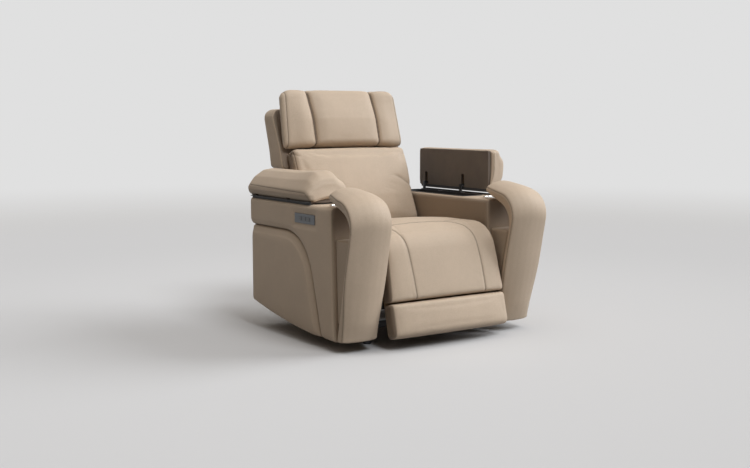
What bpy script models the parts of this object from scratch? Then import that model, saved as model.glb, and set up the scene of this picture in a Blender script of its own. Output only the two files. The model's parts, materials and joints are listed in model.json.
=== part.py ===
"""Power recliner with storage arms, an unfolding chaise footrest and a tilting headrest.

Metres, +Z up. X runs across the chair, -Y is its front, and Z is zero at the floor.
Each piece is a named object. A moving piece has its origin on its joint's axis.
Profiles are (y, z) pairs unless a function says otherwise.
"""
import math

import bmesh
import bpy
from mathutils import Vector

# Fits shared by all pieces
FIT = 0.0003                # between pieces that touch
RUNNING = 0.0004            # radial, between a pin and its bore
OVERRUN = 0.004             # how far a cutter passes the face that it cuts
WELD = 0.0015               # how deep a welded shape enters its neighbour

# Widths that all others follow
SEAT_HALF = 0.306
ARM_GAP = 0.014             # from the seat's side to the arm
ARM_WIDTH = 0.195

# Arms
ARM_INNER_X = SEAT_HALF + ARM_GAP
ARM_OUTER_X = ARM_INNER_X + ARM_WIDTH
ARM_TOP_Z = 0.607
ARM_REAR_Y = 0.390
ARM_STEP_Z = 0.486          # the lower rear edge is set in below this height
ARM_STEP_DEPTH = 0.022
ARM_FRONT_TOP_Y = -0.343
ARM_FRONT_FOOT_Y = -0.362
ARM_FOOT_Z = 0.044          # lowest point of the curved bottom edge, at the front
ARM_TAIL_Z = 0.125          # the bottom edge has risen to this at the rear
ARM_EDGE_R = 0.018

# Padded panel let into each arm's outer face
PANEL_THICKNESS = 0.024
PANEL_CROWN = 0.004
PANEL_EDGE_R = 0.011
PANEL_CREASE = 0.0012       # width of the sewn crease round the panel
SEAM_TOP_Z = 0.482
SEAM_BEND_Y = 0.060         # the seam leaves its level stretch here
SEAM_KNEE_Y = -0.172
SEAM_KNEE_Z = 0.300
SEAM_FOOT_Y = -0.245
SEAM_TOP_REACH = 0.120      # length of the bend's upper handle
SEAM_SIDE_REACH = 0.112

# Padded scroll in front of each arm
SCROLL_NARROWING = 0.010    # the scroll is narrower than the arm behind it
SCROLL_WIDTH = ARM_WIDTH - SCROLL_NARROWING
SCROLL_FOOT_Z = 0.0455
SCROLL_BACK_FOOT_Y = -0.364
SCROLL_BACK_LEAN = 13.5
SCROLL_BACK_RUN = 0.446
SCROLL_BACK_R = 0.097
SCROLL_BACK_TURN = 79.0
SCROLL_BACK_NOSE = 0.112
SCROLL_FACE_FOOT_Y = -0.414
SCROLL_FACE_LEAN = 11.4
SCROLL_FACE_RUN = 0.484
SCROLL_FACE_R = 0.108
SCROLL_FACE_TURN = 90.0
SCROLL_FACE_NOSE = 0.106
SCROLL_CROWN = 0.024
SCROLL_RIDGE_R = 0.012
SCROLL_BACK_EDGE = 0.007
SCROLL_NOSE_R = 0.014
SCROLL_FACE_SHARES = (1, 0.78, 0.42, 0)
SCROLL_RIDGE_SHARE = 0.45   # the most that the ridge takes of the thickness
SCROLL_EDGE_SHARE = 0.25
SCROLL_END_CROWN_SHARE = 0.55
SCROLL_NOSE_SHARE = 0.32

# Block that carries the scroll
POST_TOP_Z = 0.475
POST_FOOT_Z = 0.120
POST_INSET_X = 0.015        # from the arm's outer face
POST_EDGE_R = 0.008

# Storage tray in each arm
TRAY_INNER_MARGIN = 0.025   # from the arm's inner face
TRAY_OUTER_MARGIN = 0.060   # from its outer face, beside the hinges
TRAY_INNER_X = ARM_INNER_X + TRAY_INNER_MARGIN
TRAY_OUTER_X = ARM_OUTER_X - TRAY_OUTER_MARGIN
TRAY_FRONT_Y = -0.140
TRAY_REAR_Y = 0.360
TRAY_DEPTH = 0.150
TRAY_WALL = 0.0025
TRAY_RIM = 0.008
TRAY_RIM_THICKNESS = 0.002
TRAY_CORNER_R = 0.014

# Cup holder in each arm
CUP_OFFSET = 0.005          # outwards from the arm's middle
CUP_X = (ARM_INNER_X + ARM_OUTER_X) / 2 + CUP_OFFSET
CUP_Y = -0.257
CUP_RIM_R = 0.0445
CUP_BORE_R = 0.0375
CUP_DEPTH = 0.068
CUP_WALL = 0.0015
CUP_RIM_THICKNESS = 0.0025
CUP_FACETS = 28

# Lids on the arms: board, pad, hinges
LID_PIVOT_INSET = 0.013     # from the arm's outer face
LID_PIVOT_X = ARM_OUTER_X - LID_PIVOT_INSET
LID_PIVOT_Z = 0.640
LID_EDGE_R = 0.025          # the pad's outer edge is round about the pivot
LID_OVERHANG = 0.002        # over the arm's inner face
LID_INNER_X = ARM_INNER_X - LID_OVERHANG
LID_FRONT_Y = -0.172
LID_REAR_Y = 0.402
LID_FRONT_SLANT = 0.25      # run per rise of the sloping front end
LID_CREST_Z = 0.742
LID_CREST_INSET = 0.080     # from the arm's inner face
LID_CREST_X = ARM_INNER_X + LID_CREST_INSET
LID_RIDGE_Z = 0.672         # the seam between side band and top panel
LID_SHOULDER_Z = 0.700
LID_SHOULDER_IN = 0.014
LID_RING_SHARES = (0.25, 0.45, 0.65, 0.85)
LID_END_DROP_SHARE = 0.42   # how much lower the pad is at its ends
LID_END_NARROW_SHARE = 0.07
LID_BOARD_Z = 0.6133
LID_BOARD_THICKNESS = 0.015
LID_BOARD_SINK = 0.0125     # how far the board lies inside the pad
LID_BOARD_BORDER = 0.007
LID_BOARD_REACH = 0.0045    # past the pivot
LID_BOARD_OUTER_X = LID_PIVOT_X + LID_BOARD_REACH
LID_BOARD_EDGE_R = 0.003
HINGE_FRONT_Y = 0.036
HINGE_REAR_Y = 0.334
HINGE_PIN_R = 0.0025
HINGE_EYE_R = 0.0065
HINGE_ARM_WIDTH = 0.012     # along Y
HINGE_EAR = 0.003
HINGE_SIDE_GAP = 0.0005
HINGE_STRIP_MARGIN = 0.0025  # outside the tray's well
HINGE_STRIP_X = TRAY_OUTER_X + HINGE_STRIP_MARGIN
HINGE_STRIP_WIDTH = 0.012
HINGE_STRIP_THICKNESS = 0.003
HINGE_STRIP_OVERHANG = 0.020
HINGE_HEAD_Z = 0.652
HINGE_ARM_THICKNESS = 0.010
POCKET_REACH = 0.0595       # from the pivot inwards
POCKET_MARGIN = 0.0095      # and outwards
POCKET_INNER_X = LID_PIVOT_X - POCKET_REACH
POCKET_OUTER_X = LID_PIVOT_X + POCKET_MARGIN
POCKET_TOP_Z = 0.656
POCKET_HALF_Y = 0.0125

# Seat and chaise: one profile from the seat's rear to the footrest's foot
SEAT_REAR_Y = 0.148
SEAT_TOP_Z = 0.512          # at the cushion's sides
SEAT_THICKNESS = 0.112
SEAT_FALL = 0.042           # how far the top sinks from its crest to the rear
SEAT_CROWN = 0.016
BEND_Y = -0.290             # where the top starts to bend down
BEND_R = 0.140
CHAISE_SLOPE = 76.0         # degrees below level, also the footrest's travel
CHAISE_RUN = 0.205          # from the bend to the dark seam
CHAISE_THICKNESS = 0.073
CHAISE_CROWN = 0.022
CHAISE_FLARE = 0.011        # growth of the half width down the slope
FOOT_PAD_RUN = 0.151
FOOT_PAD_GROOVE = 0.004     # the dark seam between the two pads
CUSHION_EDGE_R = 0.024
CUSHION_FOOT_R = 0.007
CUSHION_DRAW = 0.005        # how far the sides are drawn in
CUSHION_END_R = 0.026
CUSHION_EDGE_SHARE = 0.8    # the most that the round edge takes of the height
CROWN_POWER = 0.8           # a lower power makes a crown boxier
SEAT_RING_SHARES = (0.24, 0.44, 0.64, 0.82)
SEAT_FALL_POWER = 1.4
CHAISE_RING_SHARES = (0, 0.25, 0.5, 0.72)
CHAISE_CROWN_SHARE = 1.5    # the crown is full after the first two thirds
PAD_END_SHARE = 0.6         # the pads' ends are tighter than the seat's
PAD_CROWN_SHARE = 0.35      # and the crown fades by this at the groove
FOOT_CROWN_SHARE = 0.5
SEAM_INSET = 0.108          # from the seat's side
SEAM_X = SEAT_HALF - SEAM_INSET              # the two sewn seams that run along seat and chaise
SEAM_DEPTH = 0.0035
SEAM_WIDTH = 0.007

# Footrest board and its brackets
BOARD_THICKNESS = 0.012
BOARD_INSET = 0.016         # from the pads' sides
BOARD_HALF = SEAT_HALF - BOARD_INSET
BOARD_START_RUN = 0.010
BOARD_END_CLEAR = 0.014
BOARD_EDGE_R = 0.002
BRACKET_INSET = 0.0095      # its inner face from the board's side
BRACKET_X = BOARD_HALF - BRACKET_INSET
BRACKET_THICKNESS = 0.004
BRACKET_PIN_RUN = 0.160     # the lower pin's place along the slope
BRACKET_PIN_DEPTH = 0.136   # and below the pads' face

# Remote-centre linkage
LINK_THICKNESS = 0.004
LINK_SIDE_GAP = 0.001
LINK_HALF = 0.010
LINK_PIN_R = 0.004
LINK_HEAD = 0.0012          # a pin stands this proud of the link it passes
LINK_FACETS = 12
LIFT_HIP_Y = -0.150
LIFT_HIP_Z = 0.380
LIFT_HIP = (LIFT_HIP_Y, LIFT_HIP_Z)
GUIDE_OFFSET = 0.060        # the guide link's hip lies this far behind the lift link's
STEADY_OFFSET = 0.075       # the steady link runs this far above the coupler
TORQUE_TUBE_SHARE = 0.28
TORQUE_TUBE_R = 0.009

# Welded base and feet
BASE_FOOT_Z = 0.050
BASE_HEIGHT = 0.060
BASE_FRONT_Y = -0.310
BASE_REAR_Y = 0.310
BASE_FLANGE = 0.024         # width of the channels' flanges
BASE_FLANGE_X = ARM_INNER_X - BASE_FLANGE
BASE_WALL = 0.003
CROSS_TUBE = 0.030
CROSS_FRONT_Y = -0.270
CROSS_REAR_Y = 0.240
FOOT_INSET = 0.023          # from the arm's inner face
FOOT_X = ARM_INNER_X - FOOT_INSET
FOOT_Y = 0.275
FOOT_TOP_R = 0.020
FOOT_SOLE_R = 0.016
FOOT_SOLE = 0.004

# Side plates
SIDE_PLATE_INSET = 0.023    # from the arm's inner face
SIDE_PLATE_X = ARM_INNER_X - SIDE_PLATE_INSET
SIDE_PLATE_THICKNESS = 0.003
SIDE_PLATE_FRONT_Y = -0.205
SIDE_PLATE_REAR_Y = 0.268
SIDE_PLATE_TOP_Z = 0.394
SIDE_PLATE_CORNER = 0.018
SIDE_PLATE_HOLE_R = 0.030
SIDE_PLATE_HOLE_Z = 0.215
SIDE_PLATE_HOLE_Y = -0.120  # the first of a row
SIDE_PLATE_HOLE_PITCH = 0.130
SIDE_PLATE_HOLES = 3

# Seat frame with its springs
SEAT_FRAME_FRONT_Y = -0.235
SEAT_FRAME_REAR_Y = 0.125
SEAT_FRAME_INSET = 0.034    # from the seat's side
SEAT_FRAME_HALF = SEAT_HALF - SEAT_FRAME_INSET
SEAT_FRAME_TUBE = 0.022
SEAT_FRAME_LUG_FRONT_Y = -0.222
SEAT_FRAME_LUG_REAR_Y = 0.085
SEAT_FRAME_LUG_WIDTH = 0.024
MOTOR_BAR_Y = 0.040
SPRING_COUNT = 4
SPRING_R = 0.0024
SPRING_SWING = 0.017
SPRING_WAVES = 6

# Back pivot and recline
BACK_PIVOT_Y = 0.240
BACK_PIVOT_Z = 0.420
BACK_PIVOT = (BACK_PIVOT_Y, BACK_PIVOT_Z)
BACK_PIN_R = 0.006
RECLINE_DEG = 36.0
BACK_TUBE_R = 0.009
BACK_PLATE_THICKNESS = 0.004
BACK_PLATE_TOP_Z = 0.600
BACK_EAR_R = 0.020
BACK_EAR_SHARE = 3.5        # radius of the side plate's ear in pivot radii

# Back shell
BACK_LEAN = 24.0            # of the shell's front face
BACK_REF_Y = 0.364
BACK_REF_Z = 0.753
SHELL_REAR_LEAN = 17.5
SHELL_REAR_REF_Y = 0.495
SHELL_REAR_REF_Z = 0.733
SHELL_FOOT_Z = 0.441
SHELL_TOP_Z = 1.017
SHELL_INSET = 0.021         # its lower part from the seat's side
SHELL_WING = 0.063          # its upper part is wider by this on each side
SHELL_LOWER_HALF = SEAT_HALF - SHELL_INSET
SHELL_UPPER_HALF = SHELL_LOWER_HALF + SHELL_WING
SHELL_SHOULDER_Z = 0.745
SHELL_SHOULDER_RISE = 0.022
SHELL_SHOULDER_SHARES = (0.5, 0.85, 1)
SHELL_TOP_R = 0.048
SHELL_TOP_ROUND = 0.022
SHELL_REAR_R = 0.020
SHELL_FRONT_R = 0.006

# Back cushion: heights and places along the shell's front face
BACK_CUSHION_SPREAD = 0.002  # it is wider than the seat by this on each side
BACK_CUSHION_HALF = SEAT_HALF + BACK_CUSHION_SPREAD
BACK_CUSHION_FOOT = -0.338
BACK_CUSHION_HEAD = 0.058
BACK_CUSHION_HEIGHT = 0.080
BACK_CUSHION_CROWN = 0.016
BACK_CUSHION_LUMBAR = 0.006
BACK_RING_SHARES = (0.18, 0.34, 0.5, 0.66, 0.82)
BACK_FOOT_CROWN_SHARE = 0.4
BACK_CROWN_RISE = 1.8       # growth of the crown up the cushion
BACK_HEAD_CROWN_SHARES = (0.9, 0.6)

# Headrest
HEAD_SLIT = 0.012
HEAD_LEAN = 13.0            # of its rear face at rest
HEAD_LIFT = 0.0015          # its foot stands this far off the shell
HEAD_RUN = 0.296
HEAD_FOOT_RUN = 0.006       # the cushion starts this far above its plate's foot
HEAD_INSET = 0.013          # its foot from the shell's side
HEAD_TAPER = 0.017
HEAD_HALF_FOOT = SHELL_UPPER_HALF - HEAD_INSET
HEAD_HALF_TOP = HEAD_HALF_FOOT - HEAD_TAPER
HEAD_HEIGHT = 0.046
HEAD_CROWN = 0.043
HEAD_CROWN_SHARE = 0.42     # the crown is full up to this share of the run, then fades
HEAD_END_R = 0.026
HEAD_END_SHARE = 0.6        # crown and channel fade by this at the ends
HEAD_RING_SHARES = (0.2, 0.34, 0.48, 0.62, 0.76)
HEAD_TOP_R = 0.040
HEAD_SEAM_INSET = 0.152
HEAD_SEAM_X = HEAD_HALF_FOOT - HEAD_SEAM_INSET
HEAD_SEAM_DEPTH = 0.010
HEAD_SEAM_WIDTH = 0.014
HEAD_PIVOT_HEIGHT = 0.024   # the hinge rod's place in front of the shell
HEAD_ROD_R = 0.003
HEAD_PLATE_THICKNESS = 0.0028
HEAD_PLATE_INSET = 0.085    # from the headrest's side
HEAD_PLATE_HALF = HEAD_HALF_FOOT - HEAD_PLATE_INSET
HEAD_PLATE_RUN = 0.190
HEAD_PLATE_START = 0.004    # the plate's foot clears the strap's arms as it tilts back
HEAD_EAR_INSET = 0.001      # from the plate's side
HEAD_EAR_X = HEAD_PLATE_HALF - HEAD_EAR_INSET
HEAD_ROD_REACH = 0.013      # past the ears
HEAD_ROD_HALF = HEAD_EAR_X + HEAD_ROD_REACH
HEAD_EAR_HALF = 0.0045
HEAD_ARM_INSET = 0.013      # from the ears
HEAD_ARM_X = HEAD_EAR_X - HEAD_ARM_INSET
HEAD_ARM_FOOT = 0.050
HEAD_STRIP = 0.003

# Linear drives
DRIVE_X = 0.060
DRIVE_ROD_R = 0.006
DRIVE_TUBE_R = 0.017
DRIVE_TUBE_LENGTH = 0.150
DRIVE_BOX = 0.044
DRIVE_BOX_LENGTH = 0.050
DRIVE_CAN_R = 0.019
DRIVE_CAN_LENGTH = 0.080
DRIVE_SADDLE = 0.020
DRIVE_PIN_R = 0.004
FORK_HALF = 0.014
FORK_RISE = 0.008           # material above and below the slot
FORK_THICKNESS = 0.004
FORK_SLACK = 0.0015         # in the slot, either side of the pin
LUG_R = 0.008
LUG_THICKNESS = 0.004
FOOT_CRANK_R = 0.060
BACK_CRANK_R = 0.090
FOOT_DRIVE_FRONT_Y = -0.055
BACK_DRIVE_REAR_Y = 0.172

# Control panel on the left arm
PANEL_Y0 = -0.206
PANEL_Y1 = -0.037
PANEL_Z0 = 0.524
PANEL_Z1 = 0.566
PLATE_PROUD = 0.003
PLATE_EDGE_R = 0.001
HOUSING_DEPTH = 0.009
HOUSING_INSET = 0.007
BUTTON_COUNT = 3
BUTTON_LENGTH = 0.024
BUTTON_PITCH = 0.034
BUTTON_HEIGHT = 0.016
BUTTON_DEPTH = 0.006
BUTTON_PROUD = 0.0015
BUTTON_TRAVEL = 0.0012
BUTTON_EDGE_R = 0.0012
BUTTON_CLEAR = 0.0005

# The model is laid out about the chair's middle plane, then moved so that its own box is centred.
BOX_MIDDLE_X = (LID_CREST_Z - LID_PIVOT_Z - LID_EDGE_R) / 2
BOX_MIDDLE_Y = 0.023

SIDES = (("left", -1), ("right", 1))


def clear_scene():
    for obj in list(bpy.data.objects):
        bpy.data.objects.remove(obj, do_unlink=True)


def material(name, color, roughness, metallic=0.0):
    made = bpy.data.materials.new(name)
    made.use_nodes = True
    shader = made.node_tree.nodes["Principled BSDF"]
    shader.inputs["Base Color"].default_value = (*color, 1.0)
    shader.inputs["Roughness"].default_value = roughness
    shader.inputs["Metallic"].default_value = metallic
    made.diffuse_color = (*color, 1.0)
    return made


# Plane geometry

def add(p, q):
    return (p[0] + q[0], p[1] + q[1])


def sub(p, q):
    return (p[0] - q[0], p[1] - q[1])


def times(p, k):
    return (p[0] * k, p[1] * k)


def unit(p):
    return times(p, 1 / math.hypot(*p))


def polar(centre, radius, degrees):
    angle = math.radians(degrees)
    return (centre[0] + radius * math.cos(angle), centre[1] + radius * math.sin(angle))


def arc(centre, radius, start, end, steps):
    return [polar(centre, radius, start + (end - start) * i / steps) for i in range(steps + 1)]


def bezier(p0, p1, p2, p3, steps):
    points = []
    for i in range(steps + 1):
        t = i / steps
        weights = ((1 - t) ** 3, 3 * t * (1 - t) ** 2, 3 * t * t * (1 - t), t ** 3)
        points.append(tuple(sum(w * p[k] for w, p in zip(weights, (p0, p1, p2, p3))) for k in (0, 1)))
    return points


def rounded_rectangle(low, high, radius, steps):
    """Outline of a rectangle with round corners, anticlockwise."""
    points = []
    for cu, cv, start in ((1, 0, -90), (1, 1, 0), (0, 1, 90), (0, 0, 180)):
        centre = (high[0] - radius if cu else low[0] + radius, high[1] - radius if cv else low[1] + radius)
        points += arc(centre, radius, start, start + 90, steps)
    return points


def slot_outline(p, q, radius, steps):
    """Outline of a bar with round ends about p and q."""
    heading = math.degrees(math.atan2(q[1] - p[1], q[0] - p[0]))
    near = arc(q, radius, heading - 90, heading + 90, steps)
    return near + arc(p, radius, heading + 90, heading + 270, steps)


def circle(centre, radius, facets):
    return [polar(centre, radius, 360 * i / facets) for i in range(facets)]


# Solids. A plane's (u, v) pair is read as (y, z) across X, (x, z) across Y and (x, y) across Z.

def point_across(axis, uv, w):
    if axis == "X":
        return (w, uv[0], uv[1])
    if axis == "Y":
        return (uv[0], w, uv[1])
    return (uv[0], uv[1], w)


def loft(rings):
    """A closed solid through rings of points, with a flat cap at each end."""
    bm = bmesh.new()
    loops = [[bm.verts.new(p) for p in ring] for ring in rings]
    for a, b in zip(loops, loops[1:]):
        for i in range(len(a)):
            j = (i + 1) % len(a)
            bm.faces.new((a[i], a[j], b[j], b[i]))
    bm.faces.new(list(reversed(loops[0])))
    bm.faces.new(loops[-1])
    bmesh.ops.recalc_face_normals(bm, faces=bm.faces[:])
    return bm


def prism(outline, axis, low, high):
    return loft([[point_across(axis, p, w) for p in outline] for w in (low, high)])


def plate(loops, axis, low, high):
    """A flat plate. The first loop is its outline and the others are its holes."""
    bm = bmesh.new()
    for loop in loops:
        verts = [bm.verts.new(point_across(axis, p, low)) for p in loop]
        for i in range(len(verts)):
            bm.edges.new((verts[i], verts[(i + 1) % len(verts)]))
    bmesh.ops.triangle_fill(bm, use_beauty=True, use_dissolve=False, edges=bm.edges[:])
    grown = bmesh.ops.extrude_face_region(bm, geom=bm.faces[:])["geom"]
    moved = [item for item in grown if isinstance(item, bmesh.types.BMVert)]
    bmesh.ops.translate(bm, verts=moved, vec=point_across(axis, (0, 0), high - low))
    bmesh.ops.recalc_face_normals(bm, faces=bm.faces[:])
    return bm


def round_ends(bm, axis, radius, segments, ends):
    """Rounds the outline edges of a prism at the given ends along its axis."""
    index = "XYZ".index(axis)
    places = [vert.co[index] for vert in bm.verts]
    levels = {"low": min(places), "high": max(places)}
    edges = []
    for end in ends:
        edges += [e for e in bm.edges if all(abs(v.co[index] - levels[end]) < radius / 10 for v in e.verts)]
    bmesh.ops.bevel(bm, geom=edges, offset=radius, segments=segments, profile=0.5, affect="EDGES")
    return bm


def turned(profile, axis, centre, facets):
    """A solid of revolution. The profile is (radius, place along the axis) pairs, cap to cap."""
    rings = []
    for radius, place in profile:
        rings.append([point_across(axis, p, place) for p in circle(centre, radius, facets)])
    return loft(rings)


def box(low, high):
    return prism([(low[0], low[1]), (high[0], low[1]), (high[0], high[1]), (low[0], high[1])],
                 "Z", low[2], high[2])


def merged(parts):
    """Several separate closed shapes in one mesh, to cut or weld with in one step."""
    bm = bmesh.new()
    for part in parts:
        mesh = bpy.data.meshes.new("piece")
        part.to_mesh(mesh)
        part.free()
        bm.from_mesh(mesh)
        bpy.data.meshes.remove(mesh)
    return bm


def mirrored(bm, side):
    """The solid for one side of the chair: it is modelled for the right, where X is positive."""
    if side < 0:
        for vert in bm.verts:
            vert.co.x = -vert.co.x
        bmesh.ops.reverse_faces(bm, faces=bm.faces[:])
    return bm


def place(name, bm, finish, pivot=(0, 0, 0), sharp=32.0):
    """Adds the solid to the scene, with its origin at the pivot."""
    bmesh.ops.translate(bm, verts=bm.verts[:], vec=-Vector(pivot))
    mesh = bpy.data.meshes.new(name)
    bm.to_mesh(mesh)
    bm.free()
    mesh.materials.append(finish)
    mesh.shade_smooth()
    mesh.set_sharp_from_angle(angle=math.radians(sharp))
    obj = bpy.data.objects.new(name, mesh)
    obj.location = Vector(pivot) - Vector((BOX_MIDDLE_X, BOX_MIDDLE_Y, 0))
    bpy.context.scene.collection.objects.link(obj)
    return obj


def boolean(obj, bm, operation):
    """Cuts the solid from the object, or welds it on."""
    guide = place(f"{obj.name}_{operation.lower()}_guide", bm, obj.data.materials[0])
    guide.hide_render = True
    guide.display_type = "WIRE"
    step = obj.modifiers.new(operation.title(), "BOOLEAN")
    step.operation = operation
    step.object = guide
    step.solver = "EXACT"
    return obj


def cut(obj, bm):
    return boolean(obj, bm, "DIFFERENCE")


def weld(obj, bm):
    return boolean(obj, bm, "UNION")


# Cushions

def cushion_section(half, height, crown, seam, depth, width):
    """Cross-section of a cushion as (x, height) pairs, from its left foot over the top."""
    edge = min(CUSHION_EDGE_R, (height - CUSHION_FOOT_R) * CUSHION_EDGE_SHARE)
    flat = half - edge
    groove_places = (seam + width, seam, seam - width)
    xs = [flat, (flat + seam + width) / 2, *groove_places, (seam - width) / 2, 0]
    top = []
    for x in xs:
        rise = crown * (1 - (x / flat) ** 2) ** CROWN_POWER
        top.append((x, height + rise - (depth if x == seam else 0)))
    slant = math.sqrt(0.5)
    right = [
        (half - CUSHION_FOOT_R, 0),
        (half, CUSHION_FOOT_R),
        (half - CUSHION_DRAW, (height - edge + CUSHION_FOOT_R) / 2),
        (half, height - edge),
        (half - edge * (1 - slant), height - edge * (1 - slant)),
        *top,
    ]
    left = [(-x, h) for x, h in right[:-1]]
    return left + list(reversed(right))


def station(base, normal, height, crown, half, seam=SEAM_X, depth=SEAM_DEPTH, width=SEAM_WIDTH):
    """One ring of a cushion: its section stands on a base point along a normal."""
    ring = []
    for x, h in cushion_section(half, height, crown, seam, depth, width):
        ring.append((x, base[0] + normal[0] * h, base[1] + normal[1] * h))
    return ring


def rounded_end(steps):
    """Shares of an end radius: (distance left to the end, drop of the top), outermost last."""
    shares = []
    for i in range(steps + 1):
        angle = math.radians(90 * i / steps)
        shares.append((1 - math.sin(angle), 1 - math.cos(angle)))
    return shares


# Seat profile: a level top, a bend, and the chaise's slope

def bend_centre():
    return (BEND_Y, SEAT_TOP_Z - BEND_R)


def bend_frame(degrees):
    """Point on the bend's outer face with its outward normal."""
    normal = (-math.sin(math.radians(degrees)), math.cos(math.radians(degrees)))
    return add(bend_centre(), times(normal, BEND_R)), normal


def slope_frame(run):
    """Point on the slope's outer face, run metres below the bend, with its outward normal."""
    start, normal = bend_frame(CHAISE_SLOPE)
    heading = (-math.cos(math.radians(CHAISE_SLOPE)), -math.sin(math.radians(CHAISE_SLOPE)))
    return add(start, times(heading, run)), normal


def slope_point(run, depth):
    face, normal = slope_frame(run)
    return sub(face, times(normal, depth))


def chaise_pivot():
    """The pole about which the bend unrolls: the crowned skin keeps its length from shut to open."""
    radius = BEND_R + SEAT_CROWN
    angle = math.radians(CHAISE_SLOPE)
    shut = (radius * math.sin(angle), -radius * (1 - math.cos(angle)))
    opened = (radius * angle, 0)
    chord = sub(opened, shut)
    middle = times(add(opened, shut), 0.5)
    reach = 1 / (2 * math.tan(angle / 2))
    forward, rise = add(middle, (-chord[1] * reach, chord[0] * reach))
    return (BEND_Y - forward, SEAT_TOP_Z + SEAT_CROWN + rise)


def mitre_degrees():
    """Direction of the pivot as seen from the bend's centre: seat and chaise meet on this plane."""
    away = sub(chaise_pivot(), bend_centre())
    return math.degrees(math.atan2(-away[0], away[1]))


def mitre_gap():
    """Half the mitre's gap as an angle at the cushions' inner radius."""
    return math.degrees(FIT / (BEND_R - SEAT_THICKNESS))


# Remote-centre linkage, in the (y, z) plane

def linkage():
    """Pin places at rest. Both parallelograms copy the line from the footrest's pole to its lower pin."""
    pole = chaise_pivot()
    foot_low = slope_point(BRACKET_PIN_RUN, BRACKET_PIN_DEPTH)
    arm = sub(foot_low, pole)
    knee = add(LIFT_HIP, arm)
    coupler = unit(sub(foot_low, knee))
    back = times(coupler, -GUIDE_OFFSET)
    rise = times(unit(arm), -STEADY_OFFSET)
    return {
        "pole": pole,
        "hip": LIFT_HIP,
        "knee": knee,
        "guide_hip": add(LIFT_HIP, back),
        "guide_knee": add(knee, back),
        "mid": add(knee, rise),
        "foot_low": foot_low,
        "foot_high": add(foot_low, rise),
    }


def link_planes():
    """Inner faces of the three layers of flat bars, from the footrest's bracket outwards."""
    inner = BRACKET_X + BRACKET_THICKNESS + LINK_SIDE_GAP
    outer = inner + LINK_THICKNESS + LINK_SIDE_GAP
    return {"inner": inner, "outer": outer}


def x_pin(centre, radius, low, high):
    return turned([(radius, low), (radius, high)], "X", centre, LINK_FACETS)


def bar(name, ends, bores, pins, layer, side, finish, pivot):
    """A flat link with round ends, bores for its neighbours' pins, and its own pins."""
    low = link_planes()[layer]
    high = low + LINK_THICKNESS
    loops = [slot_outline(ends[0], ends[1], LINK_HALF, 6)]
    loops += [circle(c, LINK_PIN_R + RUNNING, LINK_FACETS) for c in bores]
    body = place(name, mirrored(plate(loops, "X", low, high), side), finish, (0, *pivot))
    shafts = [x_pin(centre, LINK_PIN_R, pin_low, pin_high) for centre, pin_low, pin_high in pins]
    if shafts:
        weld(body, mirrored(merged(shafts), side))
    return body


def links(side_name, side, finish):
    pins = linkage()
    inner = link_planes()["inner"]
    outer = link_planes()["outer"]
    outer_pin = (outer + WELD, inner - LINK_HEAD)
    bar(f"lift_link_{side_name}", (pins["hip"], pins["knee"]), [pins["hip"]],
        [(pins["knee"], *sorted(outer_pin)), (pins["mid"], *sorted(outer_pin))],
        "outer", side, finish, pins["hip"])
    bar(f"guide_link_{side_name}", (pins["guide_hip"], pins["guide_knee"]),
        [pins["guide_hip"], pins["guide_knee"]], [], "outer", side, finish, pins["guide_hip"])
    bar(f"coupler_link_{side_name}", (pins["guide_knee"], pins["foot_low"]),
        [pins["knee"], pins["foot_low"]],
        [(pins["guide_knee"], inner + LINK_THICKNESS - WELD, outer + LINK_THICKNESS + LINK_HEAD)],
        "inner", side, finish, pins["knee"])
    bar(f"steady_link_{side_name}", (pins["mid"], pins["foot_high"]),
        [pins["mid"], pins["foot_high"]], [], "inner", side, finish, pins["mid"])


def torque_tube(finish):
    """Tube between the two lift links, with the lug that the footrest drive pushes."""
    pins = linkage()
    centre = add(pins["hip"], times(sub(pins["knee"], pins["hip"]), TORQUE_TUBE_SHARE))
    half = link_planes()["outer"] - FIT
    tube = place("torque_tube", turned([(TORQUE_TUBE_R, -half), (TORQUE_TUBE_R, half)], "X", centre, 16),
                 finish, (0, *pins["hip"]))
    pin = crank_pin(pins["hip"], FOOT_CRANK_R, CHAISE_SLOPE)
    weld_lug(tube, centre, pin, -DRIVE_X)


# Drives: a lug with a pin on the turning tube, and a slotted fork on the sliding rod

def crank_pin(pivot, radius, travel):
    """Pin place at rest. Its swing is even about straight down, so the fork moves level."""
    return polar(pivot, radius, -90 + travel / 2)


def crank_stroke(radius, travel):
    """The fork moves this far forward, and into its tube where the tube lies in front."""
    return 2 * radius * math.sin(math.radians(travel / 2))


def weld_lug(tube, centre, pin, drive_x):
    """The lug lies beside the fork, towards the chair's middle, and its pin crosses the fork."""
    toward = 1 if drive_x > 0 else -1
    fork_face = drive_x - toward * FORK_THICKNESS / 2
    near = fork_face - toward * LINK_SIDE_GAP
    far = near - toward * LUG_THICKNESS
    past = drive_x + toward * (FORK_THICKNESS / 2 + LINK_HEAD)
    weld(tube, prism(slot_outline(centre, pin, LUG_R, 6), "X", *sorted((near, far))))
    weld(tube, x_pin(pin, DRIVE_PIN_R, *sorted((near - toward * WELD, past))))


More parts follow.
